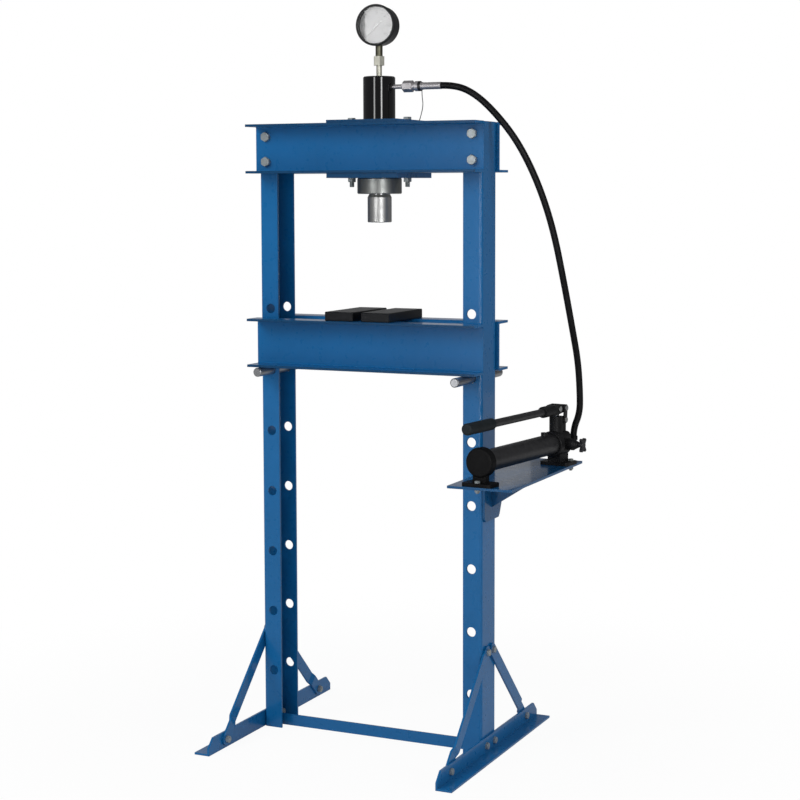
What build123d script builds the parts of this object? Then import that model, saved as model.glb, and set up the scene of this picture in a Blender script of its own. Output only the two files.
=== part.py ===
from build123d import *
import os
from math import sin, cos, radians, sqrt

# A floor-standing hydraulic shop press with a hand pump on its right-hand side.
# Millimetres. X runs to the right, Y to the back, Z up. The origin lies on the floor,
# midway between the columns and midway between their front and back flanges.

# Columns: folded channels with their webs outside and their flanges inwards
frame_height = 1500.0
frame_width = 588.0
column_depth = 88.0
column_flange = 48.0
column_wall = 5.0
column_bend = 7.0

# Rows of pin holes in the column flanges
pin_row_drop = 448.0
pin_row_pitch = 151.0
pin_row_lowest = 100.0
pin_row_in_use = 1
pin_hole_inset = 27.0
pin_diameter = 22.0
pin_hole_gap = 0.75
pin_seat_gap = 0.3
pin_length = 275.0
pin_chamfer = 2.0
pin_reach_left = 71.0
pin_reach_right = 101.0

# Beams across the top and the bed: channels whose flanges point away from the columns
beam_overhang = 6.0
beam_height = 118.0
beam_flange = 60.0
beam_wall = 6.0
beam_bend = 8.0
bed_side_gap = 1.0
bed_seat_gap = 0.3
bed_spacer_wall = 8.0
bed_spacer_height = 96.0
bed_spacer_gap = 4.0

# Bolts that hold the top beams to the column flanges
beam_bolt_size = 14.0
beam_bolt_inset = 22.0
beam_bolt_drop = (29.0, 89.5)
bolt_hole_gap = 0.4
thread_gap = 0.15

# Arbor plates lying across the bed
arbor_width = 74.0
arbor_length = 192.0
arbor_thickness = 22.0
arbor_slot = 22.0
arbor_offset = -6.0
arbor_chamfer = 1.5

# Feet, braces and spreader
foot_leg = 40.0
foot_wall = 5.0
foot_length = 632.0
foot_corner = 22.0
small_bolt_size = 10.0
foot_bolt_spread = 50.0
foot_bolt_height = 20.0
brace_width = 30.0
brace_wall = 5.0
brace_foot_y = 240.0
brace_foot_z = 22.0
brace_top_y = 17.0
brace_joggle_start = 42.0
brace_joggle_length = 14.0
spreader_leg = 28.0
spreader_wall = 4.0
spreader_plate_wall = 5.0
spreader_plate_width = 70.0
spreader_plate_height = 38.0

# Clamp plates that hold the cylinder between the top beams
cylinder_x = 10.0
plate_width = 184.0
plate_depth = 200.0
plate_wall = 12.0
top_plate_wall = 7.0
plate_bolt_size = 12.0
plate_bolt_spread = 148.0
plate_bolt_tail = 12.0

# Cylinder and ram
cylinder_diameter = 77.0
cylinder_rise = 111.0
cylinder_cap = 17.0
cylinder_bore = 60.0
spigot_diameter = 70.0
spigot_length = 40.0
ring_nut_diameter = 107.0
ring_nut_height = 38.0
ring_nut_lip = 6.0
gland_length = 36.0
running_gap = 0.05
slip_gap = 0.1
rod_diameter = 50.0
piston_length = 28.0
piston_drop = 14.0
seal_height = 10.0
seal_depth = 4.0
nose_diameter = 58.0
nose_length = 67.0
nose_gap = 1.0
nose_socket = 46.0
nose_shoulder = 7.0
spring_bore = 30.0
spring_diameter = 26.0
spring_wire = 3.0
spring_length = 180.0

# Pressure gauge
gauge_rise = 120.0
gauge_turn = 6.0
gauge_radius = 49.0
gauge_drum_radius = 47.0
gauge_wall = 2.5
gauge_back = -16.0
gauge_front = 29.0
gauge_rim_depth = 10.0
gauge_window = 43.5
gauge_glass_wall = 2.5
gauge_dial_wall = 1.2
gauge_dial_drop = 9.0
gauge_post_radius = 8.0
needle_reach = 36.0
needle_tail = 13.0
needle_wall = 0.8
needle_hub = 4.0
needle_shaft = 1.5
needle_rest = 225.0
stem_diameter = 17.0
stem_spigot = 12.0
stem_spigot_length = 14.0
union_flats = 24.0
union_neck = 26.5
union_height = 21.5
union_nipple = 13.5
union_depth = 12.0
oil_way = 5.0

# Hose coupler on the right of the cylinder
coupler_drop = 25.0
nipple_diameter = 11.0
nipple_depth = 6.0
nipple_reach = 26.5
coupler_hex_length = 24.0
coupler_flats = 24.0
coupler_neck_length = 14.0
coupler_neck_diameter = 19.0
sleeve_overlap = 8.0
sleeve_length = 15.0
sleeve_diameter = 24.0
ferrule_collar = 4.0
ferrule_length = 59.0
ferrule_diameter = 17.0
ferrule_groove_count = 4
ferrule_groove_pitch = 10.0
ferrule_groove_width = 2.5
hose_diameter = 16.0

# Shelf for the pump
shelf_top = 681.0
shelf_wall = 6.0
shelf_width = 156.0
shelf_front = -250.0
shelf_back = 222.0
bracket_wall = 6.0
bracket_front = -40.0
bracket_back = 68.0
bracket_shoulder = 596.0
bracket_low = 561.0
bracket_bolt_spread = 44.0
bracket_bolt_drop = 28.0
gusset_y = 6.0
gusset_low = 591.0
gusset_reach = 131.0

# Hand pump, in its own axes: x across, y to the back, z up from the shelf
pump_offset = 70.0
pump_y = -225.0
pump_turn = -7.5
pump_axis = 53.0
pump_foot_wall = 8.0
pump_foot_width = 76.0
pump_neck_width = 34.0
end_foot_front = -22.0
end_foot_back = 26.0
end_cap_radius = 34.0
end_cap_front = -8.0
end_cap_back = 14.0
tube_diameter = 50.0
tube_wall = 3.0
tube_front = 4.5
tube_back = 346.0
tube_socket = 10.0
head_front = 350.0
head_back = 402.0
head_width = 46.0
head_low = 26.0
head_top = 80.0
gland_y = 366.0
gland_radius = 16.0
gland_top = 118.0
plunger_diameter = 18.0
plunger_low = 52.0
plunger_shoulder = 108.0
pump_bore_floor = 48.0
tongue_width = 10.0
tongue_length = 14.0
tongue_gap = 0.3
pivot_z = 136.0
lever_pivot_y = 390.0
link_pivot_y = 388.0
link_pivot_z = 108.0
link_eye = 9.0
link_waist = 14.0
link_wall = 4.0
lever_width = 22.0
pin_radius = 4.0
pin_head_radius = 6.5
pin_head_wall = 2.0
plunger_hole_radius = 6.0
lever_boss = 12.0
lever_slot_back = 402.0
lever_slot_front = 351.0
socket_axis = 134.0
socket_radius = 13.5
socket_front = 296.0
socket_back = 346.0
socket_depth = 40.0
handle_diameter = 18.0
handle_front = -56.0
grip_radius = 13.5
grip_front = -62.0
grip_back = 52.0
valve_y = 383.0
valve_z = 50.0
valve_boss_radius = 14.0
valve_boss_end = 40.0
valve_cone_end = 53.0
valve_cone_radius = 7.0
spindle_diameter = 8.0
spindle_depth = 16.0
knob_start = 60.0
knob_end = 68.0
knob_diameter = 37.0
knob_arm = 8.5
knob_spread = 58.0
knob_hub = 8.0
filler_y = 306.0
filler_radius = 8.0
filler_height = 7.0
outlet_x = 10.0
outlet_z = 42.0
outlet_y = 440.0
outlet_radius = 8.0
outlet_top = 62.0
pump_bolt_size = 8.0
pump_bolt_front = (0.0, -12.0)
pump_bolt_back_x = 26.0
pump_bolt_back_y = 394.0

# Dust cap of the coupler, on its wire
tether_diameter = 2.0
cap_radius = 11.0
cap_height = 16.0

# Places worked out from the sizes above
half_width = frame_width / 2
beam_length = frame_width + 2 * beam_overhang
pin_row_top = frame_height - pin_row_drop
pin_row_count = 1 + int((pin_row_top - pin_row_lowest) / pin_row_pitch)
cylinder_top = frame_height + cylinder_rise
gauge_z = cylinder_top + gauge_rise
union_bottom = cylinder_top + union_neck
union_top = union_bottom + union_height
coupler_z = cylinder_top - coupler_drop
cylinder_side = cylinder_x + cylinder_diameter / 2
nipple_start = cylinder_side - nipple_depth
coupler_hex_start = cylinder_side + nipple_reach
coupler_hex_end = coupler_hex_start + coupler_hex_length
coupler_neck_end = coupler_hex_end + coupler_neck_length
sleeve_start = coupler_neck_end - sleeve_overlap
sleeve_end = sleeve_start + sleeve_length
ferrule_collar_end = sleeve_end + ferrule_collar
ferrule_end = coupler_neck_end + ferrule_length
pump_x = half_width + pump_offset
half_depth = column_depth / 2
web_inside = half_width - column_wall
pin_x = half_width - pin_hole_inset
pin_z = pin_row_top - pin_row_in_use * pin_row_pitch - pin_hole_gap + pin_seat_gap
beam_bottom = frame_height - beam_height
bed_bottom = pin_z + pin_diameter / 2 + bed_seat_gap
bed_top = bed_bottom + beam_height
plate_top = frame_height + top_plate_wall
plate_bottom = beam_bottom - plate_wall
ring_nut_bottom = plate_bottom - ring_nut_height
gland_bottom = ring_nut_bottom + ring_nut_lip
chamber_top = cylinder_top - cylinder_cap
piston_top = chamber_top - piston_drop
nose_top = ring_nut_bottom - nose_gap
pump_place = Pos(pump_x, pump_y, shelf_top) * Rot(0, 0, pump_turn)
low_end = (Align.CENTER, Align.CENTER, Align.MIN)


def rod(origin, direction, radius, length):
    """A round bar that starts at a point and runs along a direction."""
    return Plane(origin=origin, z_dir=direction) * Cylinder(radius, length, align=low_end)


def hexagon(origin, direction, across_flats, height):
    """A hexagonal prism that starts at a point and runs along a direction."""
    face = Plane(origin=origin, z_dir=direction) * RegularPolygon(across_flats / 2, 6, major_radius=False)
    return extrude(face, height, dir=direction)


def bolt(seat, outward, size, grip):
    """A hexagon bolt whose head stands on the seat and whose shank runs the other way."""
    inward = tuple(-c for c in outward)
    return hexagon(seat, outward, 1.5 * size, 0.62 * size) + rod(seat, inward, size / 2, grip)


def nut(seat, outward, size):
    """A hexagon nut that stands on the seat."""
    body = hexagon(seat, outward, 1.5 * size, 0.8 * size)
    return body - rod(seat, outward, size / 2 + thread_gap, size)


def channel(depth, flange, wall, bend):
    """A folded channel's section: the web's outer face on x = 0, the flanges towards +x."""
    outside = Pos(flange / 2, 0) * Rectangle(flange, depth)
    outside = fillet(outside.vertices().group_by(Axis.X)[0], bend)
    inside = Pos(wall + flange / 2, 0) * Rectangle(flange, depth - 2 * wall)
    inside = fillet(inside.vertices().group_by(Axis.X)[0], bend - wall)
    return outside - inside


def turned(points):
    """A solid turned about Z from (radius, height) points."""
    return revolve(make_face(Plane.XZ * Polyline(*points, close=True)), Axis.Z)


# Frame

def column(side):
    """One column: side is -1 for the left one and 1 for the right one."""
    section = channel(column_depth, column_flange, column_wall, column_bend)
    body = Pos(side * half_width, 0, 0) * Rot(0, 0, 90 + 90 * side) * extrude(section, frame_height)
    hole_radius = pin_diameter / 2 + pin_hole_gap
    for row in range(pin_row_count):
        place = (side * pin_x, -column_depth, pin_row_top - row * pin_row_pitch)
        body -= rod(place, (0, 1, 0), hole_radius, 2 * column_depth)
    for drop in beam_bolt_drop:
        place = (side * (half_width - beam_bolt_inset), -column_depth, frame_height - drop)
        body -= rod(place, (0, 1, 0), beam_bolt_size / 2 + bolt_hole_gap, 2 * column_depth)
    for y, z in web_bolt_places(side):
        place = (side * (half_width - 2 * column_wall), y, z)
        body -= rod(place, (side, 0, 0), small_bolt_size / 2 + bolt_hole_gap, 4 * column_wall)
    return body


def web_bolt_places(side):
    """Where bolts pass through a column's web, as (y, z)."""
    places = [(sign * foot_bolt_spread / 2, foot_bolt_height) for sign in (-1, 1)]
    places += [(sign * brace_top_y, brace_top_z()) for sign in (-1, 1)]
    if side > 0:
        places += bracket_bolt_places()
    return places


def bracket_bolt_places():
    """Where the shelf's bracket is bolted to the right column, as (y, z)."""
    height = shelf_top - bracket_bolt_drop
    return [(gusset_y + sign * bracket_bolt_spread / 2, height) for sign in (-1, 1)]


def brace_top_z():
    """The braces rise at 45 degrees from the feet to the columns."""
    return brace_foot_z + brace_foot_y - brace_top_y


def cross_channel(side, top, gap):
    """A channel across both columns: side is -1 in front and 1 at the back."""
    section = channel(beam_height, beam_flange, beam_wall, beam_bend)
    origin = (-side * beam_length / 2, side * (half_depth + gap), top - beam_height / 2)
    plane = Plane(origin=origin, x_dir=(0, side, 0), z_dir=(side, 0, 0))
    return extrude(plane * section, beam_length, dir=(side, 0, 0))


def top_beam(side):
    body = cross_channel(side, frame_height, 0)
    for place in beam_bolt_seats(side):
        start = (place[0], 0, place[2])
        body -= rod(start, (0, side, 0), beam_bolt_size / 2 + bolt_hole_gap, column_depth)
    return body


def beam_bolt_seats(side):
    """Where the bolt heads stand on a top beam's web."""
    y = side * (half_depth + beam_wall)
    across = half_width - beam_bolt_inset
    return [(sign * across, y, frame_height - drop) for sign in (-1, 1) for drop in beam_bolt_drop]


def beam_bolts():
    """Bolts through the beam webs and column flanges, with their nuts inside the columns."""
    grip = beam_wall + column_wall + 0.8 * beam_bolt_size + 3
    pieces = []
    for side in (-1, 1):
        for seat in beam_bolt_seats(side):
            inner = (seat[0], side * (half_depth - column_wall), seat[2])
            pieces.append(bolt(seat, (0, side, 0), beam_bolt_size, grip))
            pieces.append(nut(inner, (0, -side, 0), beam_bolt_size))
    return Compound(children=pieces)


def bed_spacers():
    """Plates between the bed's two channels, one just inside each column."""
    thickness = bed_spacer_wall
    x = half_width - column_flange - bed_spacer_gap - thickness / 2
    width = column_depth + 2 * bed_side_gap
    plate = Box(thickness, width, bed_spacer_height)
    middle = bed_bottom + beam_height / 2
    return Compound(children=[Pos(sign * x, 0, middle) * plate for sign in (-1, 1)])


def bed_pin(side, reach):
    """A round pin through both flanges of a column, standing out in front by its reach."""
    front = -half_depth - reach
    pin = rod((side * pin_x, front, pin_z), (0, 1, 0), pin_diameter / 2, pin_length)
    return chamfer(pin.edges().filter_by(GeomType.CIRCLE), pin_chamfer)


def arbor_plate(side):
    x = arbor_offset + side * (arbor_width + arbor_slot) / 2
    plate = Pos(x, 0, bed_top) * Box(arbor_width, arbor_length, arbor_thickness, align=low_end)
    return chamfer(plate.edges(), arbor_chamfer)


def foot(side):
    """An angle along the floor, its upright leg on the column's web, with cut corners."""
    upright = Pos(foot_wall / 2, 0, 0) * Box(foot_wall, foot_length, foot_leg, align=low_end)
    corners = upright.edges().filter_by(Axis.X).group_by(Axis.Z)[-1]
    upright = chamfer(corners, foot_corner)
    flat = Pos(foot_leg / 2, 0, 0) * Box(foot_leg, foot_length, foot_wall, align=low_end)
    body = upright + flat
    for y, z in foot_bolt_places():
        body -= rod((-foot_wall, y, z), (1, 0, 0), small_bolt_size / 2 + bolt_hole_gap, 3 * foot_wall)
    return Pos(side * half_width, 0, 0) * Rot(0, 0, 90 - 90 * side) * body


def foot_bolt_places():
    """Bolts through a foot's upright leg: two to the column and one to each brace, as (y, z)."""
    places = [(sign * foot_bolt_spread / 2, foot_bolt_height) for sign in (-1, 1)]
    return places + [(sign * brace_foot_y, brace_foot_z) for sign in (-1, 1)]


def brace(side, end):
    """A flat bar with a joggle: inside the foot's leg below, on the column's web above."""
    run = sqrt(2) * (brace_foot_y - brace_top_y)
    plane = Plane(
        origin=(side * half_width, end * brace_foot_y, brace_foot_z),
        x_dir=(0, -end, 1),
        z_dir=(side, 0, 0),
    )
    outline = extrude(Pos(run / 2, 0) * SlotCenterToCenter(run, brace_width), brace_wall, both=True)
    joggle_end = brace_joggle_start + brace_joggle_length
    side_view = Polyline(
        (-brace_width, -brace_wall),
        (brace_joggle_start, -brace_wall),
        (joggle_end, 0),
        (run + brace_width, 0),
        (run + brace_width, brace_wall),
        (joggle_end, brace_wall),
        (brace_joggle_start, 0),
        (-brace_width, 0),
        close=True,
    )
    bar = extrude(make_face(Plane.XZ * side_view), brace_width, both=True) & outline
    for x in (0, run):
        bar -= Pos(x, 0, 0) * Cylinder(small_bolt_size / 2 + bolt_hole_gap, 4 * brace_wall)
    return plane * bar


def foot_bolts():
    """Bolts of the feet and braces, heads outside and nuts inside."""
    pieces = []
    for side in (-1, 1):
        for sign in (-1, 1):
            stack = column_wall + spreader_plate_wall
            joints = (
                (sign * foot_bolt_spread / 2, foot_bolt_height, foot_wall, stack),
                (sign * brace_foot_y, brace_foot_z, foot_wall, brace_wall),
                (sign * brace_top_y, brace_top_z(), brace_wall, column_wall),
            )
            for y, z, outer, inner in joints:
                seat = (side * (half_width + outer), y, z)
                nut_seat = (side * (half_width - inner), y, z)
                grip = outer + inner + 0.8 * small_bolt_size + 2
                pieces.append(bolt(seat, (side, 0, 0), small_bolt_size, grip))
                pieces.append(nut(nut_seat, (-side, 0, 0), small_bolt_size))
    return Compound(children=pieces)


def spreader_bar():
    """An angle on the floor between the columns, with a bolted plate welded on each end."""
    length = 2 * (web_inside - spreader_plate_wall)
    leg = Box(length, spreader_wall, spreader_leg, align=low_end)
    body = Box(length, spreader_leg, spreader_wall, align=low_end)
    body += Pos(0, (spreader_wall - spreader_leg) / 2, 0) * leg
    for side in (-1, 1):
        x = side * (web_inside - spreader_plate_wall / 2)
        plate = Box(spreader_plate_wall, spreader_plate_width, spreader_plate_height, align=low_end)
        body += Pos(x, 0, 0) * plate
        for sign in (-1, 1):
            y = sign * foot_bolt_spread / 2
            start = (side * (web_inside - 2 * spreader_plate_wall), y, foot_bolt_height)
            hole = small_bolt_size / 2 + bolt_hole_gap
            body -= rod(start, (side, 0, 0), hole, 4 * spreader_plate_wall)
    return body


# Cylinder

def clamp_plate(bottom, wall, hole_radius):
    plate = Pos(cylinder_x, 0, bottom) * Box(plate_width, plate_depth, wall, align=low_end)
    plate -= rod((cylinder_x, 0, bottom - wall), (0, 0, 1), hole_radius, 3 * wall)
    for x in plate_bolt_xs():
        hole = plate_bolt_size / 2 + bolt_hole_gap
        plate -= rod((x, 0, bottom - wall), (0, 0, 1), hole, 3 * wall)
    return plate


def plate_bolt_xs():
    return [cylinder_x + sign * plate_bolt_spread / 2 for sign in (-1, 1)]


def plate_bolts():
    """Long bolts through both clamp plates, between the beams."""
    grip = plate_top - plate_bottom + 0.8 * plate_bolt_size + plate_bolt_tail
    seats = [(x, 0, plate_top) for x in plate_bolt_xs()]
    return Compound(children=[bolt(seat, (0, 0, 1), plate_bolt_size, grip) for seat in seats])


def plate_nuts():
    seats = [(x, 0, plate_bottom) for x in plate_bolt_xs()]
    return Compound(children=[nut(seat, (0, 0, -1), plate_bolt_size) for seat in seats])


def cylinder_body():
    """The barrel: it stands on the lower clamp plate, its threaded spigot through it."""
    outer = cylinder_diameter / 2
    bore = cylinder_bore / 2
    spigot = spigot_diameter / 2
    spigot_end = beam_bottom - spigot_length
    chamfer_size = 2.5
    body = turned((
        (bore, spigot_end),
        (spigot, spigot_end),
        (spigot, beam_bottom),
        (outer, beam_bottom),
        (outer, cylinder_top - chamfer_size),
        (outer - chamfer_size, cylinder_top),
        (0, cylinder_top),
        (0, chamber_top),
        (bore, chamber_top),
    ))
    body -= rod((0, 0, cylinder_top - union_depth), (0, 0, 1), union_nipple / 2 + slip_gap, cylinder_cap)
    body -= rod((0, 0, chamber_top - 1), (0, 0, 1), oil_way / 2, cylinder_cap)
    body -= rod((bore - 2, 0, coupler_z), (1, 0, 0), oil_way / 2, outer)
    body -= rod((nipple_start - cylinder_x, 0, coupler_z), (1, 0, 0), nipple_diameter / 2 + slip_gap, outer)
    return Pos(cylinder_x, 0, 0) * body


def cylinder_ring_nut():
    """The round nut under the lower plate, with a lip that holds the gland in."""
    outer = ring_nut_diameter / 2
    thread = spigot_diameter / 2 + slip_gap
    lip = rod_diameter / 2 + 0.5
    edge = 2.0
    body = turned((
        (thread, plate_bottom),
        (outer - edge, plate_bottom),
        (outer, plate_bottom - edge),
        (outer, ring_nut_bottom + edge),
        (outer - edge, ring_nut_bottom),
        (lip, ring_nut_bottom),
        (lip, gland_bottom),
        (thread, gland_bottom),
    ))
    return Pos(cylinder_x, 0, 0) * body


def cylinder_gland():
    """The guide bush at the foot of the bore."""
    outer = cylinder_bore / 2 - slip_gap
    inner = rod_diameter / 2 + running_gap
    bush = rod((cylinder_x, 0, gland_bottom), (0, 0, 1), outer, gland_length)
    return bush - rod((cylinder_x, 0, gland_bottom - 1), (0, 0, 1), inner, gland_length + 2)


def ram():
    """Piston and rod in one, bored from above for the return spring."""
    piston = cylinder_bore / 2 - running_gap
    bar = rod_diameter / 2
    spring = spring_bore / 2
    piston_low = piston_top - piston_length
    groove_low = piston_top - (piston_length + seal_height) / 2
    groove = piston - seal_depth
    bar_end = nose_top - nose_socket
    bore_end = chamber_top - spring_length
    body = turned((
        (spring, piston_top),
        (piston, piston_top),
        (piston, groove_low + seal_height),
        (groove, groove_low + seal_height),
        (groove, groove_low),
        (piston, groove_low),
        (piston, piston_low),
        (bar, piston_low),
        (bar, bar_end),
        (0, bar_end),
        (0, bore_end),
        (spring, bore_end),
    ))
    return Pos(cylinder_x, 0, 0) * body


def ram_seal():
    groove_low = piston_top - (piston_length + seal_height) / 2
    outer = cylinder_bore / 2 - running_gap
    ring = rod((cylinder_x, 0, groove_low), (0, 0, 1), outer, seal_height)
    return ring - rod((cylinder_x, 0, groove_low - 1), (0, 0, 1), outer - seal_depth, seal_height + 2)


def ram_nose():
    """The pressing nose on the end of the rod, sloped at the shoulder."""
    outer = nose_diameter / 2
    socket = rod_diameter / 2 + slip_gap
    low = nose_top - nose_length
    edge = 1.5
    body = turned((
        (0, low),
        (outer - edge, low),
        (outer, low + edge),
        (outer, nose_top - nose_shoulder),
        (outer - nose_shoulder / 2, nose_top),
        (socket, nose_top),
        (socket, nose_top - nose_socket),
        (0, nose_top - nose_socket),
    ))
    return Pos(cylinder_x, 0, 0) * body


def return_spring():
    """The close-wound pull-back spring, kept as the sleeve that its turns fill."""
    outer = spring_diameter / 2
    sleeve = rod((cylinder_x, 0, chamber_top), (0, 0, -1), outer, spring_length)
    return sleeve - rod((cylinder_x, 0, chamber_top + 1), (0, 0, -1), outer - spring_wire, spring_length + 2)


# Gauge, in its own axes: z towards the reader, y up

gauge_place = Pos(cylinder_x, 0, gauge_z) * Rot(0, 0, gauge_turn) * Rot(90, 0, 0)
gauge_glass_back = gauge_front - gauge_wall - gauge_glass_wall
gauge_dial_back = gauge_glass_back - gauge_dial_drop


def gauge_case():
    """Drum and rim, with a ledge for the dial and a post for the needle's shaft."""
    ledge = 3.0
    body = turned((
        (0, gauge_back),
        (gauge_drum_radius - 2, gauge_back),
        (gauge_drum_radius, gauge_back + 2),
        (gauge_drum_radius, gauge_front - gauge_rim_depth),
        (gauge_radius, gauge_front - gauge_rim_depth + 1.5),
        (gauge_radius, gauge_front - 2),
        (gauge_radius - 2, gauge_front),
        (gauge_window, gauge_front),
        (gauge_window, gauge_dial_back),
        (gauge_window - ledge, gauge_dial_back),
        (gauge_window - ledge, gauge_back + gauge_wall),
        (gauge_post_radius, gauge_back + gauge_wall),
        (gauge_post_radius, gauge_dial_back),
        (needle_shaft + running_gap, gauge_dial_back),
        (needle_shaft + running_gap, gauge_back + gauge_wall),
        (0, gauge_back + gauge_wall),
    ))
    return gauge_place * body


def gauge_dial():
    disc = Pos(0, 0, gauge_dial_back) * Cylinder(gauge_window - slip_gap, gauge_dial_wall, align=low_end)
    return gauge_place * (disc - Cylinder(needle_shaft + slip_gap, 2 * gauge_front))


def gauge_glass():
    disc = Cylinder(gauge_window - slip_gap, gauge_glass_wall, align=low_end)
    return gauge_place * (Pos(0, 0, gauge_glass_back) * disc)


def gauge_needle():
    """A tapered pointer with a round tail weight, a hub and the shaft that turns it."""
    low = gauge_dial_back + gauge_dial_wall + 1.2
    outline = Polyline(
        (-needle_tail, -1.6),
        (0, -1.8),
        (needle_reach, -0.5),
        (needle_reach, 0.5),
        (0, 1.8),
        (-needle_tail, 1.6),
        close=True,
    )
    blade = extrude(make_face(outline), needle_wall)
    blade += Pos(-needle_tail, 0, 0) * Cylinder(3.0, needle_wall, align=low_end)
    hub = Cylinder(needle_hub, 2 * needle_wall, align=low_end)
    shaft_low = gauge_back + gauge_wall + 1
    shaft = Pos(0, 0, shaft_low - low) * Cylinder(needle_shaft, low - shaft_low, align=low_end)
    return gauge_place * Pos(0, 0, low) * Rot(0, 0, needle_rest) * (blade + hub + shaft)


def gauge_stem():
    """The gauge's brass stem: seated on the drum above, screwed into the union below."""
    top = gauge_z - gauge_drum_radius
    stem = rod((cylinder_x, 0, union_top), (0, 0, 1), stem_diameter / 2, top - union_top + 5)
    drum = Pos(0, 0, gauge_back) * Cylinder(gauge_drum_radius, gauge_front - gauge_back, align=low_end)
    stem -= gauge_place * drum
    rim = Pos(0, 0, gauge_front - gauge_rim_depth) * Cylinder(gauge_radius, gauge_rim_depth, align=low_end)
    stem -= gauge_place * rim
    return stem + rod((cylinder_x, 0, union_top), (0, 0, -1), stem_spigot / 2, stem_spigot_length)


def gauge_union():
    """A hexagon with a nipple below that screws into the top of the cylinder."""
    body = hexagon((cylinder_x, 0, union_bottom), (0, 0, 1), union_flats, union_top - union_bottom)
    tail = union_bottom - cylinder_top + union_depth
    body += rod((cylinder_x, 0, union_bottom), (0, 0, -1), union_nipple / 2, tail)
    socket = stem_spigot / 2 + slip_gap
    body -= rod((cylinder_x, 0, union_top + 1), (0, 0, -1), socket, stem_spigot_length + 2)
    return body - rod((cylinder_x, 0, union_top), (0, 0, -1), oil_way / 2, 2 * union_bottom - union_top)


# Coupler and hose

def along_x(start, end, radius):
    return rod((start, 0, coupler_z), (1, 0, 0), radius, end - start)


def coupler_nipple():
    nipple = along_x(nipple_start, coupler_hex_start + 8, nipple_diameter / 2)
    return nipple - along_x(nipple_start - 1, coupler_hex_end, oil_way / 2)


def coupler_body():
    length = coupler_hex_end - coupler_hex_start
    body = hexagon((coupler_hex_start, 0, coupler_z), (1, 0, 0), coupler_flats, length)
    body += along_x(coupler_hex_end, coupler_neck_end, coupler_neck_diameter / 2)
    body -= along_x(coupler_hex_start - 1, coupler_hex_start + 8, nipple_diameter / 2 + slip_gap)
    return body - along_x(coupler_hex_start, coupler_neck_end + 1, oil_way / 2)


def coupler_sleeve():
    """The ring that locks the coupler, grooved for the fingers."""
    ring = along_x(sleeve_start, sleeve_end, sleeve_diameter / 2)
    ring = chamfer(ring.edges().filter_by(GeomType.CIRCLE), 1.0)
    ring -= along_x(sleeve_start - 1, sleeve_end + 1, coupler_neck_diameter / 2 + running_gap)
    return ring


def hose_ferrule():
    """The crimped ferrule, with the collar that the sleeve locks against."""
    body = along_x(coupler_neck_end, ferrule_end, ferrule_diameter / 2)
    body += along_x(sleeve_end + tongue_gap, ferrule_collar_end, coupler_neck_diameter / 2)
    for index in range(ferrule_groove_count):
        start = ferrule_collar_end + (index + 1) * ferrule_groove_pitch
        end = start + ferrule_groove_width
        body -= along_x(start, end, ferrule_diameter) - along_x(start, end, ferrule_diameter / 2 - 0.6)
    return body


def hose_end():
    """Where the hose leaves the elbow on the pump, straight up."""
    return (pump_place * Pos(outlet_x, outlet_y, outlet_top)).position


hose_route = [
    (ferrule_end, 0.0, coupler_z),
    (210.0, 0.0, coupler_z),
    (260.0, 1.0, 1563.0),
    (310.0, 4.0, 1517.0),
    (360.0, 16.0, 1451.0),
    (399.0, 42.0, 1359.0),
    (425.0, 76.0, 1250.0),
    (440.5, 112.0, 1117.0),
    (448.0, 150.0, 1008.0),
    (450.0, 187.0, 926.0),
    (449.5, 203.0, 846.0),
    (440.5, 210.5, 800.0),
]
hose_rise = 25.0

tether_route = [
    (122.0, 0.0, coupler_z - coupler_neck_diameter / 2),
    (122.0, 0.0, 1562.0),
    (125.0, 1.0, 1541.0),
    (117.0, 3.0, 1513.0),
    (106.0, 3.0, 1485.0),
    (106.0, 3.0, 1462.0),
]


def corner_radii(points):
    """The largest arc each corner's two runs allow: 0.45 of the shorter run over tan(turn / 2)."""
    radii = []
    for before, corner, after in zip(points, points[1:], points[2:]):
        run_in = corner - before
        run_out = after - corner
        half_turn = radians(run_in.get_angle(run_out)) / 2
        radii.append(0.45 * min(run_in.length, run_out.length) * cos(half_turn) / sin(half_turn))
    return radii


def cord(name, route, diameter):
    """A plain tube along straight runs joined by tangent arcs."""
    points = [Vector(*p) for p in route]
    radii = corner_radii(points)
    path = FilletPolyline(*points, radius=radii)
    section = Plane(origin=path @ 0, z_dir=path % 0) * Circle(diameter / 2)
    tube = sweep(section, path=path)
    ideal = 3.14159265 * diameter ** 2 / 4 * path.length
    print(name, "length", round(path.length, 1), "radii", [round(r) for r in radii])
    print(name, "volume over section times length", round(tube.volume / ideal, 4))
    return tube


def hose():
    end = hose_end()
    route = hose_route + [(end.X, end.Y, end.Z + hose_rise), (end.X, end.Y, end.Z)]
    return cord("hose", route, hose_diameter)


def cap_tether():
    return cord("cap_tether", tether_route, tether_diameter)


def dust_cap():
    """A rubber cap that hangs mouth down on its wire between the beams."""
    x, y, z = tether_route[-1]
    cap = rod((x, y, z), (0, 0, -1), cap_radius, cap_height)
    return cap - rod((x, y, z - 4), (0, 0, -1), cap_radius - 2.5, cap_height)


# Shelf and hand pump

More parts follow.
